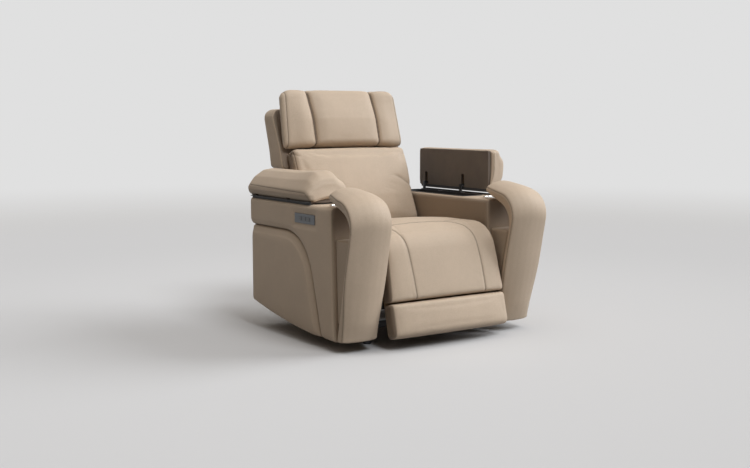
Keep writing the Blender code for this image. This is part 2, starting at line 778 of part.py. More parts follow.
def fork(name, pivot, radius, travel, drive_x, toward, tube_end, finish):
    """Sliding rod with a slotted end. toward is +1 where the rod runs to the rear."""
    pin = crank_pin(pivot, radius, travel)
    lowest = pivot[1] - radius
    middle = (pin[1] + lowest) / 2
    half_slot = (pin[1] - lowest) / 2
    outline = rounded_rectangle(
        (pin[0] - FORK_HALF, middle - half_slot - DRIVE_PIN_R - FORK_RISE),
        (pin[0] + FORK_HALF, middle + half_slot + DRIVE_PIN_R + FORK_RISE), FORK_RISE / 2, 2)
    slot = slot_outline((pin[0], middle - half_slot), (pin[0], middle + half_slot + FORK_SLACK / 100),
                        DRIVE_PIN_R + FORK_SLACK, 5)
    half = FORK_THICKNESS / 2
    end = place(name, plate([outline, slot], "X", drive_x - half, drive_x + half), finish)
    near = pin[0] + toward * (FORK_HALF - WELD)
    room = crank_stroke(radius, travel) if toward < 0 else 0
    far = tube_end + toward * (DRIVE_TUBE_LENGTH - DRIVE_BOX_LENGTH - room)
    rod = turned([(DRIVE_ROD_R, y) for y in sorted((near, far))], "Y", (drive_x, middle), 14)
    return weld(end, rod)


def drive(name, pivot, radius, travel, drive_x, toward, tube_end, finish):
    """Fixed drive: a bored tube, its gearbox, its motor can, and a saddle up to the seat frame."""
    pin = crank_pin(pivot, radius, travel)
    height = (pin[1] + pivot[1] - radius) / 2
    far = tube_end + toward * DRIVE_TUBE_LENGTH
    centre = (drive_x, height)
    tube = turned([(DRIVE_TUBE_R, y) for y in sorted((tube_end, far))], "Y", centre, 18)
    body = place(name, tube, finish)
    half = DRIVE_BOX / 2
    y0, y1 = sorted((far - toward * DRIVE_BOX_LENGTH, far + toward * WELD))
    gearbox = prism(rounded_rectangle((drive_x - half, height - half), (drive_x + half, height + half),
                                      DRIVE_BOX / 8, 2), "Y", y0, y1)
    weld(body, gearbox)
    can_centre = (drive_x, height - DRIVE_TUBE_R - DRIVE_CAN_R - FORK_THICKNESS)
    can_far = far - toward * (DRIVE_BOX_LENGTH + DRIVE_CAN_LENGTH)
    neck = box((drive_x - half / 2, min(y0, y1) + WELD, can_centre[1]),
               (drive_x + half / 2, max(y0, y1) - WELD, height))
    weld(body, neck)
    can = turned([(DRIVE_CAN_R, y) for y in sorted((can_far, far - toward * WELD))], "Y", can_centre, 18)
    weld(body, can)
    saddle = box((drive_x - DRIVE_SADDLE / 2, MOTOR_BAR_Y - DRIVE_SADDLE / 2, height),
                 (drive_x + DRIVE_SADDLE / 2, MOTOR_BAR_Y + DRIVE_SADDLE / 2, seat_frame_foot() - FIT))
    weld(body, saddle)
    bore_far = far - toward * (DRIVE_BOX_LENGTH / 2)
    bore = turned([(DRIVE_ROD_R + RUNNING, y) for y in sorted((tube_end - toward * OVERRUN, bore_far))],
                  "Y", centre, 14)
    return cut(body, bore)


# Base

def base_frame(finish):
    """Welded base: two channels along the arms and two cross tubes."""
    web = ARM_INNER_X - FIT
    z0 = BASE_FOOT_Z
    z1 = BASE_FOOT_Z + BASE_HEIGHT
    channel = [(BASE_FLANGE_X, z0), (web, z0), (web, z1), (BASE_FLANGE_X, z1),
               (BASE_FLANGE_X, z1 - BASE_WALL), (web - BASE_WALL, z1 - BASE_WALL),
               (web - BASE_WALL, z0 + BASE_WALL), (BASE_FLANGE_X, z0 + BASE_WALL)]
    frame = place("base_frame", prism(channel, "Y", BASE_FRONT_Y, BASE_REAR_Y), finish)
    other = mirrored(prism(channel, "Y", BASE_FRONT_Y, BASE_REAR_Y), -1)
    middle = (z0 + z1) / 2
    half = CROSS_TUBE / 2
    reach = web - BASE_WALL + WELD
    tubes = []
    for y in (CROSS_FRONT_Y, CROSS_REAR_Y):
        tubes.append(prism(rounded_rectangle((y - half, middle - half), (y + half, middle + half),
                                             CROSS_TUBE / 8, 2), "X", -reach, reach))
    weld(frame, other)
    weld(frame, merged(tubes))


def feet(finish):
    for side_name, side in SIDES:
        for end_name, y in (("front", -FOOT_Y), ("rear", FOOT_Y)):
            top = BASE_FOOT_Z - FIT
            profile = [(FOOT_SOLE_R, 0), (FOOT_SOLE_R + FOOT_SOLE / 2, FOOT_SOLE), (FOOT_TOP_R, top)]
            place(f"foot_{end_name}_{side_name}", turned(profile, "Z", (side * FOOT_X, y), 20), finish)


def side_plate(side_name, side, finish):
    """Steel side plate on the base channel: it carries the linkage, the seat and the back's pivot."""
    foot = BASE_FOOT_Z + BASE_HEIGHT + FIT
    front, rear = SIDE_PLATE_FRONT_Y, SIDE_PLATE_REAR_Y
    corner = SIDE_PLATE_CORNER
    ear = (BACK_PIN_R + RUNNING) * BACK_EAR_SHARE
    outline = [(front, foot), (rear, foot)]
    outline += arc(BACK_PIVOT, ear, 0, 180, 8)
    outline.append((BACK_PIVOT[0] - ear - corner, SIDE_PLATE_TOP_Z - corner / 2))
    outline += [(SEAT_FRAME_REAR_Y, SIDE_PLATE_TOP_Z)]
    outline += arc((front + corner, SIDE_PLATE_TOP_Z - corner), corner, 90, 180, 4)
    hole_ys = [SIDE_PLATE_HOLE_Y + SIDE_PLATE_HOLE_PITCH * i for i in range(SIDE_PLATE_HOLES)]
    holes = [circle((y, SIDE_PLATE_HOLE_Z), SIDE_PLATE_HOLE_R, 16) for y in hole_ys]
    low = SIDE_PLATE_X
    high = low + SIDE_PLATE_THICKNESS
    sheet = plate([outline, *holes], "X", low, high)
    body = place(f"side_plate_{side_name}", mirrored(sheet, side), finish)
    pins = linkage()
    reach = link_planes()["outer"] - LINK_HEAD
    shafts = [x_pin(pins[key], LINK_PIN_R, reach, low + WELD) for key in ("hip", "guide_hip")]
    back_reach = back_plate_x() - LINK_HEAD
    shafts.append(x_pin(BACK_PIVOT, BACK_PIN_R, back_reach, low + WELD))
    return weld(body, mirrored(merged(shafts), side))


def seat_frame_foot():
    return SEAT_TOP_Z - SEAT_THICKNESS - FIT - SEAT_FRAME_TUBE


def seat_frame(finish):
    """Welded tube frame with its sinuous springs, a bar for the drives and lugs to the side plates."""
    z1 = SEAT_TOP_Z - SEAT_THICKNESS - FIT
    z0 = seat_frame_foot()
    tube = SEAT_FRAME_TUBE
    y0, y1, half = SEAT_FRAME_FRONT_Y, SEAT_FRAME_REAR_Y, SEAT_FRAME_HALF
    outer = [(-half, y0), (half, y0), (half, y1), (-half, y1)]
    bar_y = (MOTOR_BAR_Y - tube / 2, MOTOR_BAR_Y + tube / 2)
    inner = half - tube
    front = [(-inner, y0 + tube), (inner, y0 + tube), (inner, bar_y[0]), (-inner, bar_y[0])]
    rear = [(-inner, bar_y[1]), (inner, bar_y[1]), (inner, y1 - tube), (-inner, y1 - tube)]
    frame = place("seat_frame", plate([outer, front, rear], "Z", z0, z1), finish)
    extras = []
    lug_end = SIDE_PLATE_X - FIT
    for y in (SEAT_FRAME_LUG_FRONT_Y, SEAT_FRAME_LUG_REAR_Y):
        for side in (-1, 1):
            x0, x1 = sorted((side * (half - WELD), side * lug_end))
            extras.append(box((x0, y - SEAT_FRAME_LUG_WIDTH / 2, z0 + WELD),
                              (x1, y + SEAT_FRAME_LUG_WIDTH / 2, z1 - WELD)))
    pitch = 2 * inner / (SPRING_COUNT + 1)
    middle = (z0 + z1) / 2
    for i in range(SPRING_COUNT):
        extras.append(sinuous_spring(pitch * (i + 1) - inner, y0 + tube / 2, y1 - tube / 2, middle))
    weld(frame, merged(extras))


def sinuous_spring(x, y0, y1, z):
    """Zigzag wire of square section along Y, swung by a sine."""
    steps = SPRING_WAVES * 4
    rings = []
    for i in range(steps + 1):
        share = i / steps
        phase = 2 * math.pi * SPRING_WAVES * share / 2
        swing = SPRING_SWING * math.sin(phase)
        slope = SPRING_SWING * math.cos(phase) * math.pi * SPRING_WAVES / (y1 - y0)
        across = Vector((1, -slope, 0)).normalized() * SPRING_R
        centre = Vector((x + swing, y0 + (y1 - y0) * share, z))
        up = Vector((0, 0, SPRING_R))
        rings.append([centre - across - up, centre + across - up,
                      centre + across + up, centre - across + up])
    return loft(rings)


# Arms, modelled for the right side

def arm_bottom_z(y):
    share = (y - ARM_FRONT_FOOT_Y) / (ARM_REAR_Y - ARM_STEP_DEPTH - ARM_FRONT_FOOT_Y)
    return ARM_FOOT_Z + (ARM_TAIL_Z - ARM_FOOT_Z) * share * share


def arm_bottom(y0, y1, steps):
    return [(y, arm_bottom_z(y)) for y in (y0 + (y1 - y0) * i / steps for i in range(steps + 1))]


def arm_front_y(z):
    share = (ARM_TOP_Z - z) / (ARM_TOP_Z - ARM_FOOT_Z)
    return ARM_FRONT_TOP_Y + (ARM_FRONT_FOOT_Y - ARM_FRONT_TOP_Y) * share * share


def arm_outline():
    tail = ARM_REAR_Y - ARM_STEP_DEPTH
    front = [(arm_front_y(z), z) for z in (ARM_TOP_Z - (ARM_TOP_Z - ARM_FOOT_Z) * i / 4 for i in range(4))]
    return front + arm_bottom(ARM_FRONT_FOOT_Y, tail, 8) + [
        (tail, ARM_STEP_Z - ARM_STEP_DEPTH / 2),
        (ARM_REAR_Y, ARM_STEP_Z),
        (ARM_REAR_Y, ARM_TOP_Z),
    ]


def seam_curve():
    """The crease between the arm's hook-shaped skin and its panel, from the rear down to the bottom."""
    knee = (SEAM_KNEE_Y, SEAM_KNEE_Z)
    foot = (SEAM_FOOT_Y, arm_bottom_z(SEAM_FOOT_Y))
    rise = unit(sub(knee, foot))
    bend = (SEAM_BEND_Y, SEAM_TOP_Z)
    return [*bezier(bend, (SEAM_BEND_Y - SEAM_TOP_REACH, SEAM_TOP_Z),
                    add(knee, times(rise, SEAM_SIDE_REACH)), knee, 9), foot]


def panel_outline(spread):
    """Outline of the panel, or of its recess where spread is positive: that one passes the arm's edges."""
    past = max(spread, 0) * 4
    tail = ARM_REAR_Y - ARM_STEP_DEPTH + past
    seam = seam_curve()
    seam[-1] = add(seam[-1], times(unit(sub(seam[-1], seam[-2])), past))
    moved = []
    for i, point in enumerate(seam):
        before = seam[max(i - 1, 0)]
        after = seam[min(i + 1, len(seam) - 1)]
        heading = unit(sub(after, before))
        moved.append(add(point, times((heading[1], -heading[0]), spread)))
    bottom = [(y, z - past + max(-spread, 0)) for y, z in arm_bottom(moved[-1][0], tail, 7)]
    return moved + bottom[1:] + [(tail, SEAM_TOP_Z + spread)]


def padded_panel(outline, back_x, rim_x, edge, crown):
    """A flat pad: its outline is extruded, rolled in at the edge and crowned by insets."""
    bm = prism(outline, "X", back_x, rim_x - edge)
    face = max((f for f in bm.faces), key=lambda f: f.calc_center_median().x)
    roll = rounded_end(3)
    for (far0, drop0), (far1, drop1) in zip(roll, roll[1:]):
        bmesh.ops.inset_region(bm, faces=[face], thickness=edge * (drop1 - drop0),
                               depth=edge * (far0 - far1))
    for thickness, depth in ((edge * 2, crown / 2), (edge * 3, crown / 3)):
        bmesh.ops.inset_region(bm, faces=[face], thickness=thickness, depth=depth)
    return bm


def arm_body(side_name, side, finish):
    """Upholstered arm box with its storage well, cup bore and panel recess."""
    bm = prism(arm_outline(), "X", ARM_INNER_X, ARM_OUTER_X)
    round_ends(bm, "X", ARM_EDGE_R, 3, ("low", "high"))
    body = place(f"arm_{side_name}", mirrored(bm, side), finish)
    recess = prism(panel_outline(PANEL_CREASE), "X", ARM_OUTER_X - PANEL_THICKNESS,
                   ARM_OUTER_X + ARM_EDGE_R)
    cut(body, mirrored(recess, side))
    low = (TRAY_INNER_X - FIT, TRAY_FRONT_Y - FIT)
    high = (TRAY_OUTER_X + FIT, TRAY_REAR_Y + FIT)
    outline = rounded_rectangle(low, high, TRAY_CORNER_R, 3)
    well = prism(outline, "Z", ARM_TOP_Z - TRAY_DEPTH - FIT, ARM_TOP_Z + OVERRUN)
    bore_r = CUP_BORE_R + CUP_WALL + FIT
    bore = turned([(bore_r, ARM_TOP_Z - CUP_DEPTH - FIT), (bore_r, ARM_TOP_Z + OVERRUN)],
                  "Z", (CUP_X, CUP_Y), CUP_FACETS)
    cut(body, mirrored(merged([well, bore]), side))
    if side < 0:
        cut(body, mirrored(control_housing(FIT, OVERRUN), side))
    return body


def side_panel(side_name, side, finish):
    bm = padded_panel(panel_outline(-FIT), ARM_OUTER_X - PANEL_THICKNESS + FIT, ARM_OUTER_X, PANEL_EDGE_R,
                      PANEL_CROWN)
    place(f"side_panel_{side_name}", mirrored(bm, side), finish)


def line_arc_line(start, lean, run, radius, turn, nose, counts):
    """A path that climbs leaning forward, bends back over and runs to the rear."""
    heading = (-math.sin(math.radians(lean)), math.cos(math.radians(lean)))
    corner = add(start, times(heading, run))
    path = [add(start, times(heading, run * i / counts[0])) for i in range(counts[0])]
    rearward = (heading[1], -heading[0])
    centre = add(corner, times(rearward, radius))
    first = 180 + lean
    bend = arc(centre, radius, first, first - turn, counts[1])
    path += bend
    last = math.radians(first - turn - 90)
    ahead = (math.cos(last), math.sin(last))
    path += [add(bend[-1], times(ahead, nose * i / counts[2])) for i in range(1, counts[2] + 1)]
    return path


def scroll_paths(counts=(6, 9, 3)):
    back = line_arc_line((SCROLL_BACK_FOOT_Y, SCROLL_FOOT_Z), SCROLL_BACK_LEAN, SCROLL_BACK_RUN,
                         SCROLL_BACK_R, SCROLL_BACK_TURN, SCROLL_BACK_NOSE, counts)
    face = line_arc_line((SCROLL_FACE_FOOT_Y, SCROLL_FOOT_Z), SCROLL_FACE_LEAN, SCROLL_FACE_RUN,
                         SCROLL_FACE_R, SCROLL_FACE_TURN, SCROLL_FACE_NOSE, counts)
    return back, face


def scroll_section(half, thickness, crown):
    """Section of the scroll as (x from its middle, height above its back)."""
    ridge = min(SCROLL_RIDGE_R, thickness * SCROLL_RIDGE_SHARE)
    back = min(SCROLL_BACK_EDGE, thickness * SCROLL_EDGE_SHARE)
    flat = half - ridge
    slant = math.sqrt(0.5)
    right = [(half - back, 0), (half, back), (half, thickness - ridge),
             (half - ridge * (1 - slant), thickness - ridge * (1 - slant))]
    for share in SCROLL_FACE_SHARES:
        right.append((flat * share, thickness + crown * (1 - share * share) ** CROWN_POWER))
    left = [(-x, h) for x, h in right[:-1]]
    return left + list(reversed(right))


def front_scroll(side_name, side, finish):
    """Padded scroll: a crowned section swept along a back path and a face path."""
    back, face = scroll_paths()
    middle = ARM_OUTER_X - SCROLL_WIDTH / 2
    last = len(back) - 1
    rings = []
    frames = [(b, f, SCROLL_CROWN, SCROLL_WIDTH / 2) for b, f in zip(back, face)]
    foot_b, foot_f, _, foot_half = frames[0]
    frames[0] = (foot_b, foot_f, SCROLL_CROWN * SCROLL_END_CROWN_SHARE, foot_half)
    end_b, end_f = back[last], face[last]
    ahead = unit(sub(end_b, back[last - 1]))
    for far, drop in rounded_end(3)[1:]:
        shift = times(ahead, SCROLL_NOSE_R * (1 - far))
        thick = sub(end_f, end_b)
        low = add(add(end_b, shift), times(thick, SCROLL_NOSE_SHARE * drop))
        high = add(add(end_f, shift), times(thick, -SCROLL_NOSE_SHARE * drop))
        frames.append((low, high, SCROLL_CROWN * (1 - SCROLL_END_CROWN_SHARE * drop),
                       SCROLL_WIDTH / 2 - SCROLL_NOSE_R * drop))
    for low, high, crown, half in frames:
        thickness = math.dist(low, high)
        normal = unit(sub(high, low))
        rings.append([(middle + x, low[0] + normal[0] * h, low[1] + normal[1] * h)
                      for x, h in scroll_section(half, thickness, crown)])
    place(f"front_scroll_{side_name}", mirrored(loft(rings), side), finish, sharp=50.0)


def scroll_back_y(z):
    return SCROLL_BACK_FOOT_Y - (z - SCROLL_FOOT_Z) * math.tan(math.radians(SCROLL_BACK_LEAN))


def front_post(side_name, side, finish):
    """Block between the arm box and the scroll."""
    levels = [POST_FOOT_Z + (POST_TOP_Z - POST_FOOT_Z) * i / 3 for i in range(4)]
    outline = [(arm_front_y(z) - FIT, z) for z in levels]
    outline += [(scroll_back_y(z) + FIT, z) for z in (POST_TOP_Z, POST_FOOT_Z)]
    bm = prism(outline, "X", ARM_INNER_X + POST_INSET_X, ARM_OUTER_X - POST_INSET_X)
    round_ends(bm, "X", POST_EDGE_R, 2, ("low", "high"))
    place(f"front_post_{side_name}", mirrored(bm, side), finish)


def storage_tray(side_name, side, finish):
    """Open moulded tray with a rim that lies on the arm."""
    corner = TRAY_CORNER_R

    def ring(spread, z):
        low = (TRAY_INNER_X - spread, TRAY_FRONT_Y - spread)
        high = (TRAY_OUTER_X + spread, TRAY_REAR_Y + spread)
        return [(*p, z) for p in rounded_rectangle(low, high, corner + spread, 3)]

    rim_z = ARM_TOP_Z + FIT
    floor = ARM_TOP_Z - TRAY_DEPTH
    rings = [ring(0, floor), ring(0, rim_z), ring(TRAY_RIM, rim_z),
             ring(TRAY_RIM, rim_z + TRAY_RIM_THICKNESS), ring(-TRAY_WALL, rim_z + TRAY_RIM_THICKNESS),
             ring(-TRAY_WALL, floor + TRAY_WALL)]
    place(f"storage_tray_{side_name}", mirrored(loft(rings), side), finish)


def cup_holder(side_name, side, finish):
    """Spun steel cup with a rolled rim."""
    rim_z = ARM_TOP_Z + FIT
    floor = ARM_TOP_Z - CUP_DEPTH
    outer = CUP_BORE_R + CUP_WALL
    profile = [
        (outer - CUP_RIM_THICKNESS, floor),
        (outer, floor + CUP_RIM_THICKNESS),
        (outer, rim_z),
        (CUP_RIM_R, rim_z),
        (CUP_RIM_R, rim_z + CUP_RIM_THICKNESS / 2),
        (CUP_RIM_R - CUP_RIM_THICKNESS / 2, rim_z + CUP_RIM_THICKNESS),
        (CUP_BORE_R + CUP_RIM_THICKNESS / 2, rim_z + CUP_RIM_THICKNESS),
        (CUP_BORE_R, rim_z),
        (CUP_BORE_R, floor + CUP_WALL + CUP_RIM_THICKNESS),
        (CUP_BORE_R - CUP_RIM_THICKNESS, floor + CUP_WALL),
    ]
    cup = turned(profile, "Z", (CUP_X, CUP_Y), CUP_FACETS)
    place(f"cup_holder_{side_name}", mirrored(cup, side), finish)


# Lids, modelled shut on the right side

def lid_turn(bm, side, opened):
    """Mirrors the solid to its side and, for an open lid, swings it up about the pivot."""
    if opened:
        for vert in bm.verts:
            dx, dz = vert.co.x - LID_PIVOT_X, vert.co.z - LID_PIVOT_Z
            vert.co.x = LID_PIVOT_X + dz
            vert.co.z = LID_PIVOT_Z - dx
    return mirrored(bm, side)


def lid_section():
    """Pad section (x, z): the outer edge is round about the pivot, the top rises to a crest."""
    foot = LID_PIVOT_Z - LID_EDGE_R
    outer = LID_PIVOT_X + LID_EDGE_R
    soft = LID_SHOULDER_IN / 2
    return [
        (LID_INNER_X + soft, foot),
        (LID_INNER_X, foot + soft),
        (LID_INNER_X, LID_RIDGE_Z),
        (LID_INNER_X + soft, LID_SHOULDER_Z - soft),
        (LID_INNER_X + LID_SHOULDER_IN * 2, LID_SHOULDER_Z + soft),
        ((LID_INNER_X + LID_CREST_X) / 2 + LID_SHOULDER_IN, LID_CREST_Z - soft / 2),
        (LID_CREST_X, LID_CREST_Z),
        ((LID_CREST_X + LID_PIVOT_X) / 2, LID_CREST_Z - soft),
        (LID_PIVOT_X - soft, LID_SHOULDER_Z + soft),
        (outer - soft, LID_RIDGE_Z + soft / 2),
        (outer, LID_RIDGE_Z - soft),
        *arc((LID_PIVOT_X, LID_PIVOT_Z), LID_EDGE_R, 0, -90, 4),
    ]


def lid_pad(side_name, side, opened, finish):
    section = lid_section()
    foot = LID_PIVOT_Z - LID_EDGE_R
    middle = ((LID_INNER_X + LID_PIVOT_X + LID_EDGE_R) / 2, foot)
    length = LID_REAR_Y - LID_FRONT_Y
    front_r, rear_r = LID_SHOULDER_IN * 4, LID_SHOULDER_IN * 2
    stations = [(LID_FRONT_Y + front_r * far, drop, 1) for far, drop in reversed(rounded_end(4))]
    for share in LID_RING_SHARES:
        stations.append((LID_FRONT_Y + length * share, 0, 0))
    stations += [(LID_REAR_Y - rear_r * far, drop, 0) for far, drop in rounded_end(3)]
    rings = []
    for y, drop, slant in stations:
        ring = []
        for x, z in section:
            height = (z - foot) * (1 - drop * LID_END_DROP_SHARE)
            across = middle[0] + (x - middle[0]) * (1 - drop * LID_END_NARROW_SHARE)
            ring.append((across, y + slant * LID_FRONT_SLANT * height, foot + height))
        rings.append(ring)
    pivot = (side * LID_PIVOT_X, 0, LID_PIVOT_Z)
    body = place(f"lid_pad_{side_name}", lid_turn(loft(rings), side, opened), finish, pivot, sharp=50.0)
    low, high = lid_board_box(FIT)
    cut(body, lid_turn(box((low[0], low[1], LID_BOARD_Z - OVERRUN), high), side, opened))
    cut(body, lid_turn(merged(hinge_pockets(high[2] - OVERRUN)), side, opened))


def lid_board_box(spread):
    low = (LID_INNER_X + LID_BOARD_BORDER - spread, LID_FRONT_Y + LID_BOARD_BORDER * 2 - spread,
           LID_BOARD_Z)
    high = (LID_BOARD_OUTER_X + spread, LID_REAR_Y - LID_BOARD_BORDER * 2 + spread,
            LID_BOARD_Z + LID_BOARD_THICKNESS + spread)
    return low, high


def hinge_pockets(low_z):
    return [box((POCKET_INNER_X, y - POCKET_HALF_Y, low_z),
                (POCKET_OUTER_X, y + POCKET_HALF_Y, POCKET_TOP_Z))
            for y in (HINGE_FRONT_Y, HINGE_REAR_Y)]


def lid_board(side_name, side, opened, finish):
    low, high = lid_board_box(0)
    bm = prism(rounded_rectangle(low[:2], high[:2], LID_BOARD_EDGE_R, 2), "Z", low[2], high[2])
    pivot = (side * LID_PIVOT_X, 0, LID_PIVOT_Z)
    body = place(f"lid_board_{side_name}", lid_turn(bm, side, opened), finish, pivot)
    cut(body, lid_turn(merged(hinge_pockets(LID_BOARD_Z - OVERRUN)), side, opened))


def lid_clevis(side_name, side, opened, y, number, finish):
    """Forked hinge leaf screwed under the board: two ears, their strap and the pin."""
    inner = HINGE_ARM_WIDTH / 2 + HINGE_SIDE_GAP
    outer = inner + HINGE_EAR
    x0 = LID_PIVOT_X - HINGE_EYE_R
    x1 = POCKET_OUTER_X - FIT
    top = POCKET_TOP_Z - FIT
    low = LID_PIVOT_Z - HINGE_EYE_R
    strap = top - HINGE_EAR
    outline = [(y - outer, low), (y - inner, low), (y - inner, strap), (y + inner, strap),
               (y + inner, low), (y + outer, low), (y + outer, top), (y - outer, top)]
    pivot = (side * LID_PIVOT_X, 0, LID_PIVOT_Z)
    leaf = lid_turn(prism(outline, "X", x0, x1), side, opened)
    body = place(f"lid_hinge_leaf_{number}_{side_name}", leaf, finish, pivot)
    pin = turned([(HINGE_PIN_R, y - inner - WELD), (HINGE_PIN_R, y + inner + WELD)],
                 "Y", (LID_PIVOT_X, LID_PIVOT_Z), LINK_FACETS)
    weld(body, lid_turn(pin, side, opened))


def hinge_bracket(side_name, side, finish):
    """Strip on the tray's rim with two uprights whose arms reach out to the lid's pivot."""
    z0 = ARM_TOP_Z + 2 * FIT + TRAY_RIM_THICKNESS
    x0 = HINGE_STRIP_X
    x1 = x0 + HINGE_STRIP_WIDTH
    ys = (HINGE_FRONT_Y - HINGE_STRIP_OVERHANG, HINGE_REAR_Y + HINGE_STRIP_OVERHANG)
    strip = box((x0, ys[0], z0), (x1, ys[1], z0 + HINGE_STRIP_THICKNESS))
    body = place(f"lid_hinge_{side_name}", mirrored(strip, side), finish)
    pivot = (LID_PIVOT_X, LID_PIVOT_Z)
    arms = []
    for y in (HINGE_FRONT_Y, HINGE_REAR_Y):
        head = HINGE_HEAD_Z
        outline = [(x0, z0 + WELD / 2), (x1 - WELD, z0 + WELD / 2), (x1 - WELD, head - HINGE_ARM_THICKNESS)]
        outline += arc(pivot, HINGE_EYE_R, -100, 80, 7)
        outline += [(x1, head), (x0 + WELD, head), (x0, head - WELD)]
        bore = circle(pivot, HINGE_PIN_R + RUNNING, LINK_FACETS)
        half = HINGE_ARM_WIDTH / 2
        arms.append(plate([outline, bore], "Y", y - half, y + half))
    weld(body, mirrored(merged(arms), side))


# Seat, chaise and footrest

def seat_height(y):
    """The level cushion's height: its top sinks towards the rear."""
    share = (y - BEND_Y) / (SEAT_REAR_Y - BEND_Y)
    return SEAT_THICKNESS - SEAT_FALL * max(0.0, share) ** SEAT_FALL_POWER


def seat_cushion(finish):
    rings = []
    rear = SEAT_REAR_Y
    foot = SEAT_TOP_Z - SEAT_THICKNESS
    up = (0, 1)
    for far, drop in reversed(rounded_end(3)):
        y = rear - CUSHION_END_R * far
        rings.append(station((y, foot), up, seat_height(y) - CUSHION_END_R * drop,
                             SEAT_CROWN * (1 - drop), SEAT_HALF - CUSHION_END_R * drop / 3))
    for share in SEAT_RING_SHARES:
        y = rear + (BEND_Y - rear) * share
        rings.append(station((y, foot), up, seat_height(y), SEAT_CROWN, SEAT_HALF))
    stop = mitre_degrees() - mitre_gap()
    for i in range(6):
        face, normal = bend_frame(stop * i / 5)
        base = sub(face, times(normal, SEAT_THICKNESS))
        rings.append(station(base, normal, SEAT_THICKNESS, SEAT_CROWN, SEAT_HALF))
    place("seat_cushion", loft(rings), finish, sharp=50.0)


def chaise_crown(share):
    """The crown grows from the seat's to the chaise's along the pad."""
    return SEAT_CROWN + (CHAISE_CROWN - SEAT_CROWN) * min(1.0, share)


def chaise_pad(finish):
    """Upper footrest pad: the rest of the bend, then the slope down to the dark seam."""
    rings = []
    start = mitre_degrees() + mitre_gap()
    for i in range(5):
        face, normal = bend_frame(start + (CHAISE_SLOPE - start) * i / 5)
        base = sub(face, times(normal, CHAISE_THICKNESS))
        rings.append(station(base, normal, CHAISE_THICKNESS, SEAT_CROWN, SEAT_HALF))
    end = CHAISE_RUN - FOOT_PAD_GROOVE / 2
    for share in CHAISE_RING_SHARES:
        run = end * share
        rings.append(slope_station(run, CHAISE_THICKNESS, chaise_crown(share * CHAISE_CROWN_SHARE), 0))
    end_r = CUSHION_END_R * PAD_END_SHARE
    for far, drop in rounded_end(3):
        rings.append(slope_station(end - end_r * far, CHAISE_THICKNESS - end_r * drop,
                                   CHAISE_CROWN * (1 - drop * PAD_CROWN_SHARE), CUSHION_END_R * drop / 6))
    place("chaise_pad", loft(rings), finish, (0, *chaise_pivot()), sharp=50.0)


def slope_station(run, height, crown, narrow, depth=SEAM_DEPTH):
    _, normal = slope_frame(run)
    half = SEAT_HALF + CHAISE_FLARE * min(1.0, max(0.0, run / CHAISE_RUN)) - narrow
    return station(slope_point(run, CHAISE_THICKNESS), normal, height, crown, half, depth=depth)


def footrest_pad(finish):
    """Lower footrest pad, below the dark seam."""
    start = CHAISE_RUN + FOOT_PAD_GROOVE / 2
    end = CHAISE_RUN + FOOT_PAD_RUN
    rings = []
    end_r = CUSHION_END_R * PAD_END_SHARE
    for far, drop in reversed(rounded_end(3)):
        crown = CHAISE_CROWN * (1 - drop * PAD_CROWN_SHARE)
        rings.append(slope_station(start + end_r * far, CHAISE_THICKNESS - end_r * drop,
                                   crown, CUSHION_END_R * drop / 6, 0))
    rings.append(slope_station((start + end) / 2, CHAISE_THICKNESS, CHAISE_CROWN, 0, 0))
    for far, drop in rounded_end(3):
        crown = CHAISE_CROWN * (1 - drop * FOOT_CROWN_SHARE)
        rings.append(slope_station(end - CUSHION_END_R * far, CHAISE_THICKNESS - CUSHION_END_R * drop,
                                   crown, CUSHION_END_R * drop / 4, 0))
    place("footrest_pad", loft(rings), finish, (0, *chaise_pivot()), sharp=50.0)


def footrest_board(finish):
    """Plywood board behind both pads."""
    front = CHAISE_THICKNESS + FIT
    rear = front + BOARD_THICKNESS
    start = BOARD_START_RUN
    end = CHAISE_RUN + FOOT_PAD_RUN - BOARD_END_CLEAR
    outline = [slope_point(start, front), slope_point(end, front),
               slope_point(end, rear), slope_point(start, rear)]
    bm = prism(outline, "X", -BOARD_HALF, BOARD_HALF)
    bmesh.ops.bevel(bm, geom=bm.edges[:], offset=BOARD_EDGE_R, segments=1, affect="EDGES")
    place("footrest_board", bm, finish, (0, *chaise_pivot()))


def footrest_bracket(side_name, side, finish):
    """Bracket under the board: a foot flange and a cheek with the linkage's two end pins."""
    pins = linkage()
    behind = CHAISE_THICKNESS + FIT + BOARD_THICKNESS + FIT
    low_run = BRACKET_PIN_RUN
    margin = LINK_HALF * 2
    outline = [slope_point(low_run - STEADY_OFFSET - margin, behind), slope_point(low_run + margin, behind)]
    heading = math.degrees(math.atan2(*reversed(sub(pins["foot_high"], pins["foot_low"]))))
    outline += arc(pins["foot_low"], LINK_HALF, heading + 180, heading + 270, 4)
    outline += arc(pins["foot_high"], LINK_HALF, heading - 90, heading, 4)
    low = BRACKET_X
    high = low + BRACKET_THICKNESS
    cheek = prism(outline, "X", low, high)
    body = place(f"footrest_bracket_{side_name}", mirrored(cheek, side), finish, (0, *pins["pole"]))
    thickness = BASE_WALL
    flange = prism([slope_point(low_run - STEADY_OFFSET - margin, behind),
                    slope_point(low_run + margin, behind),
                    slope_point(low_run + margin, behind + thickness),
                    slope_point(low_run - STEADY_OFFSET - margin, behind + thickness)],
                   "X", low - margin, low + WELD)
    reach = link_planes()["inner"] + LINK_THICKNESS + LINK_HEAD / 2
    shafts = [x_pin(pins[key], LINK_PIN_R, high - WELD, reach) for key in ("foot_low", "foot_high")]
    weld(body, mirrored(merged([flange, *shafts]), side))


# Back and headrest

def back_point(run, height):
    """Point run metres up the shell's front face from its reference, height metres in front of it."""
    lean = math.radians(BACK_LEAN)
    along = (math.sin(lean), math.cos(lean))
    forward = (-math.cos(lean), math.sin(lean))
    return add((BACK_REF_Y, BACK_REF_Z), add(times(along, run), times(forward, height)))


def back_normal():
    lean = math.radians(BACK_LEAN)
    return (-math.cos(lean), math.sin(lean))


